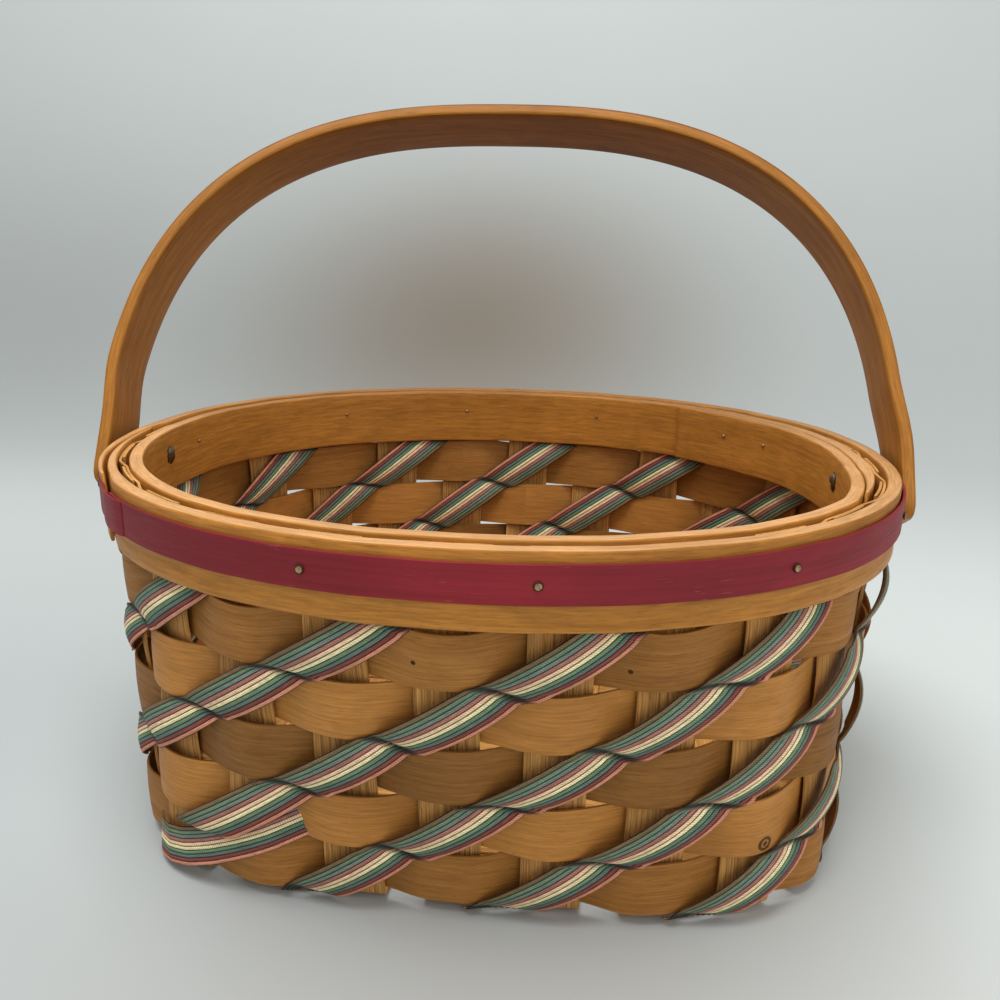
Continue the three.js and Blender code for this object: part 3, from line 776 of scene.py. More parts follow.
class BASKET_OT_splints(bpy.types.Operator):
    """Upright splints, which run under the base and up both walls"""

    bl_idname = "basket.splints"
    bl_label = "Splints"

    def wall_line(self, wall, stake, across):
        """Down one wall and round its fold, from the top end to where the base starts."""
        weave = wall.weave
        middle = wall.stake_share(stake)
        levels = np.linspace(wall.rim.rim_height - weave.splint_drop, wall.fold_top, 72)
        shares = middle + across * weave.splint_width / wall.girth(levels)
        phase = stake + (levels - wall.row_start) / wall.pitch - 0.5
        free = ease((levels - wall.fold_top) / FREE_ABOVE_FOLD)
        free = free * ease((wall.hoop_bottom - levels) / FREE_BELOW_HOOP)
        bow = -weave.splint_bow * np.cos(np.pi * phase) * free
        line = wall.layer(shares, levels, bow)
        foot = np.array(middle + across * weave.splint_width / wall.girth(wall.floor))
        above = wall.point(foot, wall.fold_top)
        corner = wall.point(foot, wall.floor)
        inwards = wall.normal(foot, wall.floor)
        inwards[2] = 0
        inside = corner - unit(inwards) * weave.fold
        turn = np.linspace(0, 1, 9)[1:, None]
        fold = (1 - turn) ** 2 * above + 2 * turn * (1 - turn) * corner + turn**2 * inside
        return np.concatenate([line, fold])

    def whole_line(self, wall, first, last, across, lift=None):
        """Down one wall, under the base and up the other wall."""
        one = self.wall_line(wall, first, across)
        other = self.wall_line(wall, last, -across)[::-1]
        step = np.linspace(0, 1, 100)[1:-1, None]
        base = one[-1] + (other[0] - one[-1]) * step
        if lift:
            base[:, 2] += lift(base)
        return np.concatenate([one, base, other])

    def add(self, wall, name, first, last, seed, lift=None):
        places = np.linspace(-0.5, 0.5, SHEET_ROWS)
        points = np.array([self.whole_line(wall, first, last, across, lift) for across in places])
        along = run_along(points[MIDDLE]) + seed * 1.7
        across = np.linspace(0, wall.weave.splint_width, SHEET_ROWS) + seed * 0.31
        mesh = sheet_mesh(name, points, along, across)
        made = finishes()
        title = name.replace("splint", "Splint")
        piece = put(title, mesh, [made["Splint"], made["Splint edge"]], [name])
        thicken(piece, wall.weave.splint_thickness, EASED_EDGE)

    def execute(self, context):
        wall = Wall(context.scene)
        weave = wall.weave
        half, quarter = wall.stakes // 2, wall.stakes // 4
        cross_reach, long_reach = (weave.cross_count - 1) // 2, (weave.long_count - 1) // 2
        places = range(-cross_reach, cross_reach + 1)
        for place in places:
            name = f"splint_cross_{place + cross_reach + 1}"
            self.add(wall, name, place, half - place, place + 5)

        def cross_x(place, y):
            one = self.wall_line(wall, place, 0)[-1]
            other = self.wall_line(wall, half - place, 0)[-1]
            return one[0] + (other[0] - one[0]) * (y - one[1]) / (other[1] - one[1])

        for place in range(-long_reach, long_reach + 1):
            first, last = 3 * quarter - place, quarter + place
            reach = abs(self.wall_line(wall, last, 0)[-1][0])

            def over_under(base):
                crossings = np.array([cross_x(k, base[:, 1]) for k in places])
                phase = [np.interp(x, crossings[:, k], list(places)) for k, x in enumerate(base[:, 0])]
                side = np.clip(FLATNESS * np.cos(np.pi * (np.array(phase) + place)), -1, 1)
                return wall.offset * side * ease((reach - np.abs(base[:, 0])) / FREE_OF_BASE_EDGE)

            name = f"splint_long_{place + long_reach + 1}"
            self.add(wall, name, first, last, place + 15, over_under)
        return {"FINISHED"}


# For a row: the splint that a knot is nearest to, its share of the row's height, its radius and its heart.
KNOTS = {
    1: ((3.1, 0.17, 0.0027, 0.38),),
    4: ((-0.26, 0.46, 0.0008, 1.0), (1.61, 0.32, 0.0008, 1.0)),
}


class BASKET_OT_weavers(bpy.types.Operator):
    """Weavers, the closed rings that go in and out of the splints"""

    bl_idname = "basket.weavers"
    bl_label = "Weavers"

    def grain(self, points, height, seed):
        """Where a ring lies along and across its wood. Each ring was cut from a place of its own."""
        along = run_along(points[MIDDLE]) + seed * 2.3
        return along, np.linspace(0, height, SHEET_ROWS) + seed * 0.17

    def add(self, wall, name, points, grain, face, edge):
        mesh = sheet_mesh(name, points, *grain, closed=True)
        piece = put(name.capitalize(), mesh, [face, edge], [name])
        thicken(piece, wall.weave.weaver_thickness, EASED_EDGE)

    def execute(self, context):
        wall = Wall(context.scene)
        weave = wall.weave
        made = finishes()
        places = np.linspace(-0.5, 0.5, SHEET_ROWS)
        once_round = np.linspace(0, 1, wall.stakes * WEAVER_STEPS + 1)
        width = wall.pitch - weave.row_gap
        for row in range(weave.rows):
            round_share = wall.stake_share(wall.stakes // 2 + 1 - row % 2) + once_round
            middle = wall.row_start + wall.pitch * (row + 0.5)
            swing = np.cos(np.pi * (wall.stakes * (round_share - weave.turn) + row))
            crown = np.where(swing > 0, weave.crown_out, weave.crown_in)
            offset = crown * swing + wall.wander(round_share, row + 3, weave.unevenness)
            stray = wall.wander(round_share, row + 40, weave.unevenness * 0.5)
            droop = weave.droop * np.maximum(swing, 0) if row == weave.rows - 1 else 0
            grid = []
            for across in places:
                cup = 1 - 0.1 * (2 * across) ** 2
                level = middle + across * width + stray - droop * (across + 0.5)
                grid.append(wall.layer(round_share, level, offset * cup))
            points = np.array(grid)
            grain = self.grain(points, width, row)
            knots = []
            for stake, up, size, heart in KNOTS.get(row, ()):
                run = np.interp(wall.stake_share(stake) + 1, round_share, grain[0])
                knots.append((run, grain[1][0] + up * width, size, heart))
            face = weaver_finish(row, knots)
            self.add(wall, f"weaver_row_{row + 1}", points, grain, face, made["Weaver edge"])
        low, high = wall.hoop_bottom + weave.row_gap, wall.rim.rim_height - weave.rim_weaver_drop
        round_share = 0.5 + once_round
        swing = np.cos(np.pi * (wall.stakes * (round_share - weave.turn) + weave.rows))
        offset = wall.offset * np.clip(FLATNESS * swing, -1, 1)
        frayed = wall.wander(round_share, 77, 0.0005)
        grid = []
        for up in places + 0.5:
            grid.append(wall.rim_layer(round_share, low + (high - low) * up + frayed * up, offset))
        points = np.array(grid)
        grain = self.grain(points, high - low, 0)
        self.add(wall, "weaver_rim", points, grain, made["Golden weaver"], made["Splint edge"])
        return {"FINISHED"}


class BASKET_OT_hoops(bpy.types.Operator):
    """Rim hoops, each one strip that laps itself"""

    bl_idname = "basket.hoops"
    bl_label = "Hoops"

    def add(self, wall, name, start, inside, outside, spring=None, steps=5):
        """The faces' offsets are given at each station along the strip, and run straight between."""
        rim = wall.rim
        stations = np.arange(len(inside))
        fine = np.linspace(0, len(inside) - 1, (len(inside) - 1) * steps + 1)
        shares = wall.station_share(start + fine)
        inner, outer = np.interp(fine, stations, inside), np.interp(fine, stations, outside)
        level = (wall.hoop_bottom + rim.rim_height) / 2
        stray = wall.wander(shares, len(name), 0.00018)

        def place(across, through):
            offset = (inner + outer) / 2 + through
            if spring is not None:
                offset = offset + np.interp(fine, stations, spring) * ease(across / (rim.hoop_height / 2))
            return wall.rim_layer(shares + 0 * across, level + across + stray, offset)

        middle = wall.rim_layer(shares, level, 0)
        # Painted shade on the hoops' edges, which grows towards the back of the rim.
        back = ((1 - np.cos(2 * np.pi * shares)) / 2) ** 2
        title, depth = name.capitalize(), outer - inner
        grain_start = 3.1 * len(name)
        mesh = bar_mesh(title, middle, rim.hoop_height, depth, HOOP_CORNER, place, grain_start, back)
        made = finishes()
        put(title, mesh, [made["Hoop"], made["Hoop edge"]], [name])

    def execute(self, context):
        wall = Wall(context.scene)
        fit, thick, tip = wall.weave.fit, wall.rim.hoop_thickness, wall.rim.hoop_tip
        clamp, outside = wall.clamp, wall.hoop_outside
        scarf = OUTER_HOOP_SCARF
        slope = [thick * (tip + (1 - 2 * tip) * k / scarf) for k in range(scarf + 1)]
        inner = [clamp] * wall.stations + [clamp + value + fit for value in slope]
        outer = [clamp + value for value in slope] + [outside] * (wall.stations - scarf - 1)
        outer += [outside + fit] * (scarf + 1)
        sprung = [wall.rim.hoop_spring * value for value in (0.2, 0.5, 0.8, 1, 1, 1)]
        spring = [0] * (len(inner) - len(sprung)) + sprung
        self.add(wall, "hoop_outer", OUTER_HOOP_START, inner, outer, spring)
        lap = INNER_HOOP_LAP
        start = [thick * (tip + (1 - tip) * min(k / 3, 1)) for k in range(lap + 1)]
        low = [-clamp - start[min(k, lap)] for k in range(wall.stations)]
        high = [-clamp] * wall.stations
        for k in range(lap + 1):
            top = -clamp - start[k] - fit
            end = min((lap - k) / 2, 1)
            low.append(top - thick * (tip + (1 - tip) * end))
            high.append(top)
        self.add(wall, "hoop_inner", INNER_HOOP_START, low, high)
        return {"FINISHED"}


class BASKET_OT_trim(bpy.types.Operator):
    """The painted strip round the outer hoop"""

    bl_idname = "basket.trim"
    bl_label = "Trim strip"

    def execute(self, context):
        wall = Wall(context.scene)
        rim, fit = wall.rim, wall.weave.fit
        rows = np.linspace(0, wall.stations + 1, (wall.stations + 1) * 5 + 1)
        shares = wall.station_share(TRIM_START + rows)
        reach = wall.stations + np.array([-1, 0, 0.7, 1])
        lap = (rim.trim_thickness + fit) * np.interp(rows, reach, [0, 1, 0.9, 0.2])
        offset = wall.trim_inside + rim.trim_thickness / 2 + lap
        width = rim.trim_width
        grid = []
        for across in np.linspace(-0.5, 0.5, 5):
            stray = wall.wander(shares, 60 + (across > 0), 0.00012)
            level = wall.trim_top - width / 2 + across * width + stray * abs(2 * across)
            grid.append(wall.rim_layer(shares, level, offset))
        points = np.array(grid)
        mesh = sheet_mesh("Trim_strip", points, run_along(points[2]), np.linspace(0, width, 5))
        stain = finishes()["Stained strip"]
        piece = put("Trim_strip", mesh, [stain], ["trim_strip"])
        thicken(piece, rim.trim_thickness, 0.00025, rim_slot=0)
        return {"FINISHED"}


class BASKET_OT_handle(bpy.types.Operator):
    """The bow handle, which swings on its pins"""

    bl_idname = "basket.handle"
    bl_label = "Handle"

    def execute(self, context):
        wall = Wall(context.scene)
        rim = wall.rim
        inside = rim.rim_length / 2 + 2 * wall.weave.fit + rim.trim_thickness + rim.handle_gap
        half = inside + rim.handle_thickness / 2
        rise = rim.handle_height - rim.handle_thickness / 2
        tail_steps, bow_steps = 11, 121
        down = rim.handle_tail * np.sin(np.linspace(np.pi / 2, 0, tail_steps + 1)[:-1])
        tail_width = np.interp(down / rim.handle_tail, [0.55, 0.78, 0.94, 1], [1, 0.96, 0.8, 0.55])
        angle = np.linspace(0, np.pi, bow_steps)
        bow_x = half * np.sign(np.cos(angle)) * np.abs(np.cos(angle)) ** rim.handle_round
        bow_z = rise * np.abs(np.sin(angle)) ** rim.handle_round
        straight = 2 * rim.pin_head
        bow_x = bow_x - rim.handle_bend * ease((bow_z - straight) / (rim.bend_height - straight))
        leg = np.full(tail_steps, half)
        x = np.concatenate([leg, bow_x, -leg]) - rim.handle_aside
        z = np.concatenate([-down, bow_z, -down[::-1]])
        width = rim.handle_width * np.concatenate([tail_width, np.ones(bow_steps), tail_width[::-1]])
        middle = np.stack([x, np.zeros_like(x), z], -1)
        tangent = unit(np.gradient(middle, axis=0))
        out = np.stack([tangent[:, 2], np.zeros_like(x), -tangent[:, 0]], -1)
        lean = np.array(Matrix.Rotation(-rim.handle_lean, 3, "X"))

        def place(across, through):
            points = middle + out * through[..., None]
            points[..., 1] += across
            return points @ lean.T + (0, 0, wall.pin_level)

        # Painted shade on the bow's faces, heaviest at its top.
        bow_top_shade = np.concatenate([0 * leg, np.sin(angle) ** 3, 0 * leg])
        depth = np.full_like(x, rim.handle_thickness)
        mesh = bar_mesh("Handle", middle, width, depth, HANDLE_CORNER, place, marks=bow_top_shade)
        made = finishes()
        put("Handle", mesh, [made["Handle"], made["Handle edge"]], ["swing_handle"], "handle")
        return {"FINISHED"}


# Which splint each nail is nearest to, counted round from the middle of the front.
NAIL_STAKES = (0.77, 2.96, 5, 8.1, 8.83, 10.95, 12.94, 14.8, 17.4, 19.4, 22.85)


class BASKET_OT_fasteners(bpy.types.Operator):
    """The handle's pins and the nails through the rim"""

    bl_idname = "basket.fasteners"
    bl_label = "Pins and nails"

    def inner_face(self, wall, at):
        """Where the inner hoop's face lies. The hoop is two layers thick where it laps itself."""
        row = (round(at * wall.stations) - INNER_HOOP_START) % wall.stations
        layers = 2 if row <= INNER_HOOP_LAP else 1
        return -wall.clamp - layers * wall.rim.hoop_thickness - (layers - 1) * wall.weave.fit

    def seat(self, bm, wall, at, level, offset, title, materials, slot, nodes):
        """Turns a finished part to face outwards, seats it in the rim and shows it."""
        bmesh.ops.recalc_face_normals(bm, faces=bm.faces)
        outwards = Vector(wall.rim_normal(np.array(at)))
        turn = outwards.to_track_quat("Z", "Y").to_matrix().to_4x4()
        middle = Vector(wall.rim_layer(np.array(at), np.array(level), np.array(offset)))
        bmesh.ops.transform(bm, matrix=Matrix.Translation(middle) @ turn, verts=bm.verts)
        put(title, mesh_of(bm, title), materials, nodes)

    def add(self, wall, name, at, level, radius, head, rise, seat, finish, slot):
        """A rod with a domed head outside and a hammered end inside, turned from its outline."""
        clinch = self.inner_face(wall, at) - wall.weave.fit
        outline = [(0, clinch - rise * 0.9), (head * 0.3, clinch - rise * 0.8)]
        outline += [(head * 0.5, clinch - rise * 0.3), (head * 0.56, clinch), (radius, clinch)]
        outline += [(radius, seat), (head * 0.97, seat), (head, seat + rise * 0.25)]
        for turn in np.radians([25, 45, 65, 80]):
            outline.append((head * math.cos(turn), seat + rise * (0.25 + 0.75 * math.sin(turn))))
        outline.append((0, seat + rise))
        bm = bmesh.new()
        verts = [bm.verts.new((across, 0, along)) for across, along in outline]
        geom = verts + [bm.edges.new(pair) for pair in zip(verts, verts[1:])]
        axis = {"cent": (0, 0, 0), "axis": (0, 0, 1), "angle": 2 * math.pi}
        bmesh.ops.spin(bm, geom=geom, steps=24, use_merge=True, **axis)
        bmesh.ops.remove_doubles(bm, verts=bm.verts, dist=1e-7)
        for face in bm.faces:
            # The outer ring of the head gets painted shade, a dark ring where the head meets what lies under
            # it.
            face.material_index = int(face.calc_center_median().xy.length > 0.74 * head)
        materials = [finish, finishes()["Head rim shade"]]
        self.seat(bm, wall, at, level, 0.0, name.capitalize(), materials, slot, [name])

    def tear(self, wall, title, at, finish):
        """Splinters that stand up where a pin broke through the inner hoop."""
        chance = np.random.RandomState(len(title))
        half_width, half_height, below, depth = 0.0031, 0.0036, 0.0014, 0.0007
        bm = bmesh.new()
        bmesh.ops.create_circle(bm, cap_ends=True, segments=22, radius=1)
        edge = list(bm.verts)
        grown = bmesh.ops.extrude_face_region(bm, geom=list(bm.faces))["geom"]
        for vert in grown:
            if isinstance(vert, bmesh.types.BMVert):
                vert.co.z -= depth * chance.uniform(0.4, 1.6)
                vert.co.x *= 0.8
                vert.co.y *= 0.8
        for vert in edge:
            angle = math.atan2(vert.co.y, vert.co.x)
            reach = chance.uniform(0.6, 1.15) * (1 + 0.22 * abs(math.sin(2 * angle)))
            vert.co.x *= reach
            vert.co.y *= reach
        for vert in bm.verts:
            vert.co.x *= half_width
            vert.co.y = vert.co.y * half_height - below
        face = self.inner_face(wall, at)
        self.seat(bm, wall, at, wall.pin_level, face, title, [finish], "hoop", [])

    def execute(self, context):
        wall = Wall(context.scene)
        rim, fit = wall.rim, wall.weave.fit
        made = finishes()
        handle_out = 2 * fit + rim.trim_thickness + rim.handle_gap + rim.handle_thickness
        seat = wall.hoop_outside + handle_out + fit
        for name, at, aside in (("handle_pin_right", 0.25, -1), ("handle_pin_left", 0.75, 1)):
            head_seat = seat + aside * rim.handle_aside
            sizes = (at, wall.pin_level, rim.pin_radius, rim.pin_head, rim.pin_rise, head_seat)
            self.add(wall, name, *sizes, made["Steel pin"], "pin")
            self.tear(wall, name.replace("handle", "Torn_wood"), at, made["Torn wood"])
        seat = wall.trim_inside + rim.trim_thickness + fit
        for count, stake in enumerate(NAIL_STAKES, 1):
            at = wall.stake_share(stake)
            sizes = (at, wall.nail_level, rim.nail_radius, rim.nail_head, rim.nail_rise, seat)
            self.add(wall, f"rim_nail_{count}", *sizes, made["Brass nail"], "nail")
        return {"FINISHED"}


# Lengths in metres that the cord bands share.
BAND_REACH = 0.0012  # how far an end is tucked behind the hoop, or below the wall's foot
BAND_SETTLE = 0.004  # how soon an end comes level
BRIDGE = 0.003  # how far a band runs on past a weaver's edge
CURL = 0.0009  # how far the middle of a band bulges
CREASE_SHADE = 0.0008  # half the breadth of the painted shade in a crease
SOFTNESS = 0.0003  # how gently a band meets a weaver
CUT_RISE = 0.0024  # how far a cut end lies over the band below it
CUT_RUN = 0.022  # and for how long
LOWEST = 0.0006  # the least height of a band above the floor

# For an outer band (1) and its first splint: the row that it is cut off at.
CUT_SHORT = {(1, 21): 0.8}

# The end of a band that is turned back and laid over the wall: splint, level and offset along it.
BAND_END = (
    (-3.42, 0.0088, 0.002),
    (-3.3, 0.0092, 0.0036),
    (-3.1, 0.0102, 0.0048),
    (-2.85, 0.0128, 0.005),
    (-2.55, 0.0172, 0.0049),
    (-2.3, 0.0213, 0.0048),
    (-2.05, 0.0256, 0.0046),
    (-1.88, 0.0285, 0.004),
    (-1.74, 0.0308, 0.0026),
    (-1.62, 0.0327, 0.0012),
    (-1.52, 0.0343, 0.0002),
    (-1.42, 0.0358, -0.0004),
)


class BASKET_OT_bands(bpy.types.Operator):
    """Bands of striped cord, which climb the wall over one splint in each row"""

    bl_idname = "basket.bands"
    bl_label = "Cord bands"

    def strip(self, bands):
        """Places across a band, and how far its cords stand proud there."""
        across = np.linspace(-0.5, 0.5, 4 * bands.cords + 1)
        within = (across + 0.5) * bands.cords % 1
        return list(zip(across, bands.cord * np.sqrt(np.maximum(1 - (2 * within - 1) ** 2, 0))))

    def lay(self, bands, title, grid, seed, nodes, outwards=True, crease_shade=None):
        """Makes the band, with its cords on the side that shows and its backing against the wall."""
        points = np.array(grid)
        along = run_along(points[len(points) // 2]) + seed * 0.7
        across = np.linspace(0.0005, 0.9995, len(points))
        if outwards:
            points, across = points[::-1], across[::-1]
        mesh = sheet_mesh(title, points, along, across, marks=crease_shade)
        made = finishes()
        piece = put(title, mesh, [made["Striped cord"], made["Cord backing"]], nodes)
        thicken(piece, bands.thickness, 0, back_slot=1)

    def weaver_face(self, wall, shares, level, turn):
        """How far the weavers stand out under a band. It bridges a little way past their edges."""
        weave = wall.weave
        crown = weave.crown_out if turn > 0 else weave.crown_in
        stand = np.zeros_like(shares)
        for row in range(weave.rows):
            swing = turn * np.cos(np.pi * (wall.stakes * (shares - weave.turn) + row))
            beyond = np.abs(level - wall.row_start - wall.pitch * (row + 0.5)) - wall.pitch / 2
            stand = np.maximum(stand, crown * np.maximum(swing, 0) * ease(1 - beyond / BRIDGE))
        return stand * ease((wall.hoop_bottom - level) / FREE_BELOW_HOOP) + weave.weaver_thickness

    def climb_levels(self, wall, low, high):
        """Levels from a band's foot to its top. They crowd at the creases, between two rows."""
        crowded = (1 - np.cos(np.pi * np.arange(BAND_STEPS) / BAND_STEPS)) / 2
        foot = np.linspace(low, wall.row_start, 5)[:-1]
        rows = [wall.row_start + wall.pitch * (row + crowded) for row in range(wall.weave.rows)]
        return np.concatenate([foot, *rows, [wall.row_start + wall.pitch * wall.weave.rows], [high]])

    def add(self, wall, bands, name, first_stake, turn, seed):
        """A band that climbs the wall, outside it (turn 1) or inside it the other way round (turn -1)."""
        rows_shown = wall.weave.rows
        chance = np.random.RandomState(seed)
        low, high = wall.floor + BAND_REACH, wall.hoop_bottom + BAND_REACH
        levels = self.climb_levels(wall, low, high)
        cut = CUT_SHORT.get((turn, first_stake))
        if cut:
            low = wall.row_start + wall.pitch * cut
            levels = np.concatenate([[low], levels[levels > low + 0.0001]])
        rows = (levels - wall.row_start) / wall.pitch
        inside = np.clip(np.round(rows, 9), 0.0, rows_shown)
        if cut:
            whole = math.ceil(cut)
            inside = np.where(inside < whole + 1, whole + (inside - cut) / (whole + 1 - cut), inside)
            inside = np.round(inside, 9)
        part = inside - np.floor(inside)
        swell = np.abs(np.sin(np.pi * part))
        cell = np.minimum(np.floor(inside), rows_shown - 1).astype(int)
        lift = 1 + chance.uniform(-0.12, 0.16, rows_shown)[cell]
        pinch = bands.pinch + (1 - bands.pinch) * swell**0.45
        climb = np.arctan2(wall.pitch, wall.girth(levels) / wall.stakes)
        tilts = bands.tilt * chance.uniform(0.2, 1.8, rows_shown + 1)
        tilt = np.interp(inside, np.arange(rows_shown + 1), tilts)
        fold = bands.width * pinch / np.sin(climb + tilt)
        saw = np.where(part == 0, 0.0, 0.5 - part) * ease(swell / 0.14)
        stake = first_stake + turn * (rows - 0.5)
        middle = wall.stake_share(stake) + turn * bands.step * saw / wall.girth(levels)
        loose = 0.0
        if turn > 0:
            from_right = (middle - 0.25 + 0.5) % 1 - 0.5
            loose = bands.loose * np.exp(-((from_right / 0.06) ** 2))
        rise = bands.tuck + (bands.rise - bands.tuck) * swell**0.38 * lift + loose * swell**1.2
        ends = ease((levels - low) / BAND_SETTLE) * ease((high - levels) / BAND_SETTLE)
        over = CUT_RISE * ease(1 - (levels - low) / CUT_RUN) if cut else 0.0
        grid = []
        for side, height in self.strip(bands):
            shares = middle + side * fold * np.cos(tilt) / wall.girth(levels)
            level = levels - turn * side * fold * np.sin(tilt) * ends
            face = self.weaver_face(wall, shares, level, turn)
            offset = (rise + face + np.sqrt((rise - face) ** 2 + SOFTNESS**2)) / 2
            curl = CURL * swell * (1 - (2 * side) ** 2)
            grid.append(wall.layer(shares, level, turn * (offset + height + curl + over)))
        # Painted shade along each crease, where the band folds between two rows.
        from_fold = np.minimum(part, 1 - part) * wall.pitch
        crease_shade = np.exp(-((from_fold / CREASE_SHADE) ** 2))
        self.lay(bands, name.replace("ribbon", "Band"), grid, seed, [name], turn > 0, crease_shade)

    def tail(self, wall, bands, title, places, seed):
        """A band's end, turned back and laid over the wall."""
        known = np.arange(len(places))
        steps = np.linspace(0, known[-1], 60)
        stakes, level, offset = [np.interp(steps, known, values) for values in np.array(places).T]
        middle = wall.stake_share(stakes)
        climb = np.arctan2(np.gradient(level), np.gradient(middle) * wall.girth(level))
        grid = []
        for side, height in self.strip(bands):
            aside = side * bands.width
            shares = middle + aside * np.sin(climb) / wall.girth(level)
            low = np.maximum(level - aside * np.cos(climb), LOWEST)
            grid.append(wall.layer(shares, low, offset + height + 0.0016 * side))
        self.lay(bands, title, grid, seed, [])

    def execute(self, context):
        wall = Wall(context.scene)
        bands = context.scene.basket_bands
        self.tail(wall, bands, "Band_end", BAND_END, 55)
        for k in range(wall.stakes // 2):
            self.add(wall, bands, f"ribbon_outer_{k + 1}", 2 * k + 1, 1, k + 1)
            self.add(wall, bands, f"ribbon_inner_{k + 1}", 2 * k, -1, k + 21)
        return {"FINISHED"}


# Painted shadow and shade on the paper: the basket's shadow on the backdrop behind the bow, shade along the
# bend, and shade on the floor in front of and to the left of the basket. For each: middle, reach each way,
# and how much light is left there.
PAINTED_SHADES = (
    ((-0.1, 0.82, 0.09), (0.44, 0.7, 0.28), (0.58, 0.47, 0.39, 1)),
    ((-0.4, 0.8, 0.06), (1.9, 0.8, 0.5), (0.56, 0.56, 0.56, 1)),
    ((0.02, -0.16, 0), (0.3, 0.15, 0.1), (0.7, 0.67, 0.66, 1)),
    ((-0.3, -0.05, 0), (0.5, 0.5, 0.3), (0.66, 0.68, 0.7, 1)),
)


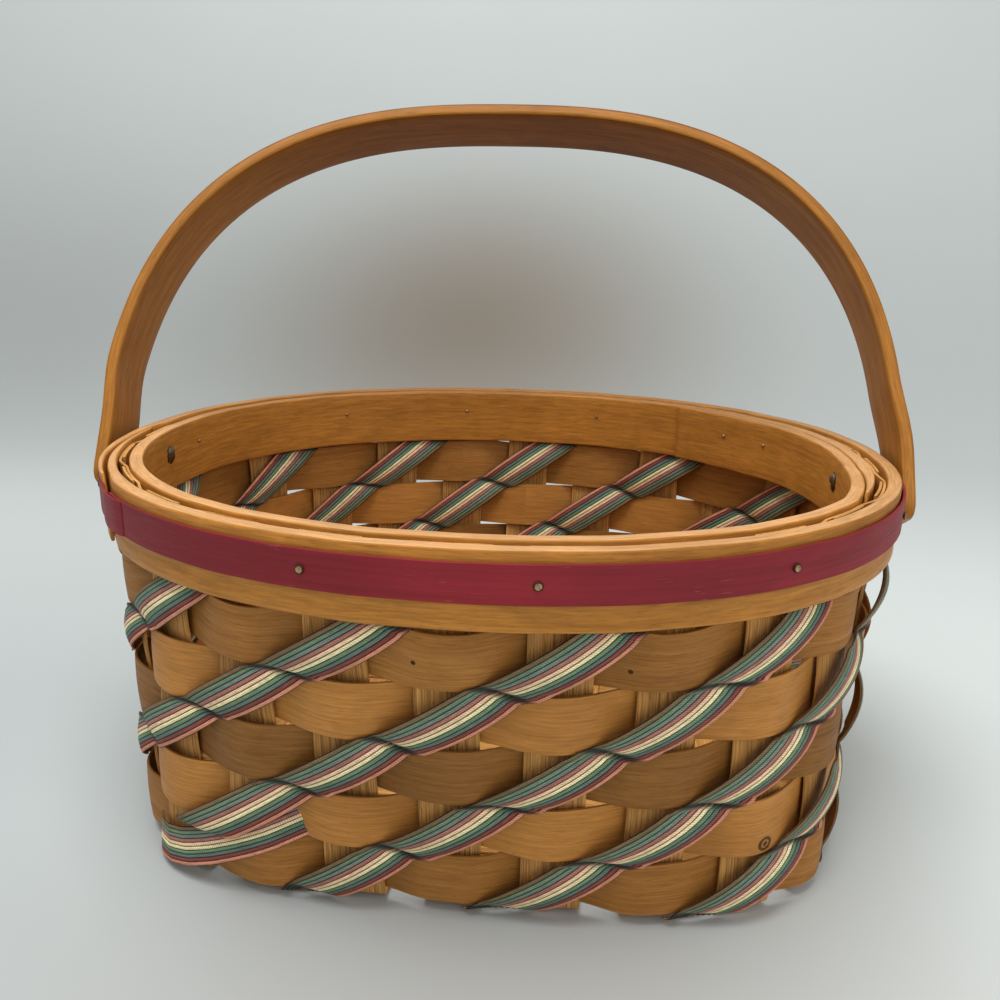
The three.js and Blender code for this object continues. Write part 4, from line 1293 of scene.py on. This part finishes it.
class BASKET_OT_stage(bpy.types.Operator):
    """A pale floor and backdrop, soft light, and the camera"""

    bl_idname = "basket.stage"
    bl_label = "Studio"

    def sweep(self, colour):
        """One sheet of paper: the floor, a bend and the backdrop, with painted shadow and shade on it."""
        front, flat, bend, upright, half_width = 1.0, 1.5, 0.45, 2.2, 2.6
        arc = bend * math.pi / 2
        bm = bmesh.new()
        bmesh.ops.create_grid(bm, x_segments=8, y_segments=60, size=1.0)
        for vert in bm.verts:
            reach = (vert.co.y + 1) / 2 * (flat + arc + upright)
            x = vert.co.x * half_width
            if reach < flat:
                vert.co = (x, reach - front, 0)
            elif reach < flat + arc:
                angle = (reach - flat) / bend
                vert.co = (x, flat - front + bend * math.sin(angle), bend * (1 - math.cos(angle)))
            else:
                vert.co = (x, flat - front + bend, bend + reach - flat - arc)
        bmesh.ops.recalc_face_normals(bm, faces=bm.faces)
        material, tree, shader = new_finish("Studio paper")
        piece = show("Studio_sweep", mesh_of(bm, "Studio_sweep"), [material])
        where = node(tree, "ShaderNodeTexCoord").outputs["Object"]
        stops = [(0.3, toned(colour, 0.985)), (0.7, toned(colour, 1.01))]
        shade = ramped(tree, noise(tree, where, 3.0, 2.0), stops)
        # Each painted shade dims the paper towards its middle.
        for centre, reach, dim in PAINTED_SHADES:
            away = vectors(tree, "SUBTRACT", where, centre)
            away = vectors(tree, "MULTIPLY", away, [1 / size for size in reach])
            away = vectors(tree, "LENGTH", away, result="Value")
            near = remap(tree, away, 0.0, 1.0, 1.0, 0.0)
            shade = mixed(tree, near, shade, dim, "MULTIPLY")
        tree.links.new(shade, shader.inputs["Base Color"])
        shader.inputs["Roughness"].default_value = 0.85

    def lamp(self, name, place, target, size, power):
        data = bpy.data.lights.new(name, "AREA")
        data.shape = "RECTANGLE"
        data.size, data.size_y = size
        data.energy = power
        lamp = bpy.data.objects.new(name, data)
        lamp.location = place
        lamp.rotation_euler = (Vector(target) - Vector(place)).to_track_quat("-Z", "Y").to_euler()
        bpy.context.scene.collection.objects.link(lamp)

    def camera(self):
        yaw, pitch, roll = -0.085, 0.298, -0.019
        focal, away, height, aside = 0.9537, 0.3748, 0.2335, 0.0006
        right = Vector((math.cos(yaw), -math.sin(yaw), 0))
        ahead = Vector((math.sin(yaw), math.cos(yaw), 0))
        up = Vector((0, 0, 1))
        view = ahead * math.cos(pitch) - up * math.sin(pitch)
        top = ahead * math.sin(pitch) + up * math.cos(pitch)
        side_on = right * math.cos(roll) - top * math.sin(roll)
        top_on = right * math.sin(roll) + top * math.cos(roll)
        data = bpy.data.cameras.new("Camera")
        data.sensor_width = 36
        data.lens = 36 * focal
        data.clip_start = 0.01
        camera = bpy.data.objects.new("Camera", data)
        turn = Matrix((side_on, top_on, -view)).transposed().to_4x4()
        place = right * aside - ahead * away + up * height
        camera.matrix_world = Matrix.Translation(place) @ turn
        bpy.context.scene.collection.objects.link(camera)
        bpy.context.scene.camera = camera

    def execute(self, context):
        colours = context.scene.basket_colours
        self.sweep(colours.stage)
        self.lamp("Key_lamp", (-0.2, -0.16, 1.28), (0, 0, 0.08), (1.0, 0.8), 14.5)
        self.lamp("Fill_lamp", (0.75, -0.95, 0.7), (0, 0, 0.08), (0.9, 0.9), 3.4)
        world = bpy.data.worlds.new("Studio")
        world.use_nodes = True
        back = world.node_tree.nodes["Background"]
        back.inputs["Color"].default_value = (0.96, 0.98, 1.0, 1)
        back.inputs["Strength"].default_value = 0.46
        context.scene.world = world
        context.scene.view_settings.view_transform = "Standard"
        self.camera()
        return {"FINISHED"}


STEPS = (
    BASKET_OT_splints,
    BASKET_OT_weavers,
    BASKET_OT_hoops,
    BASKET_OT_trim,
    BASKET_OT_handle,
    BASKET_OT_fasteners,
    BASKET_OT_bands,
    BASKET_OT_stage,
)


class BASKET_PT_panel(bpy.types.Panel):
    """Makes the basket piece by piece"""

    bl_label = "Woven basket"
    bl_space_type = "VIEW_3D"
    bl_region_type = "UI"
    bl_category = "Basket"

    def draw(self, context):
        for step in STEPS:
            self.layout.operator(step.bl_idname)
        for group in (
            context.scene.basket_weave,
            context.scene.basket_rim,
            context.scene.basket_bands,
            context.scene.basket_colours,
        ):
            box = self.layout.box()
            for key in group.bl_rna.properties.keys():
                if key not in {"rna_type", "name"}:
                    box.prop(group, key)


GROUPS = {
    "basket_weave": BasketWeave,
    "basket_rim": BasketRim,
    "basket_bands": BasketBands,
    "basket_colours": BasketColours,
}


def register():
    for name, group in GROUPS.items():
        bpy.utils.register_class(group)
        setattr(bpy.types.Scene, name, PointerProperty(type=group))
    for step in STEPS:
        bpy.utils.register_class(step)
    bpy.utils.register_class(BASKET_PT_panel)


def unregister():
    bpy.utils.unregister_class(BASKET_PT_panel)
    for step in reversed(STEPS):
        bpy.utils.unregister_class(step)
    for name, group in reversed(GROUPS.items()):
        delattr(bpy.types.Scene, name)
        bpy.utils.unregister_class(group)


def main():
    register()
    bpy.ops.basket.splints()
    bpy.ops.basket.weavers()
    bpy.ops.basket.hoops()
    bpy.ops.basket.trim()
    bpy.ops.basket.handle()
    bpy.ops.basket.fasteners()
    bpy.ops.basket.bands()
    bpy.ops.basket.stage()


if __name__ == "__main__":
    main()
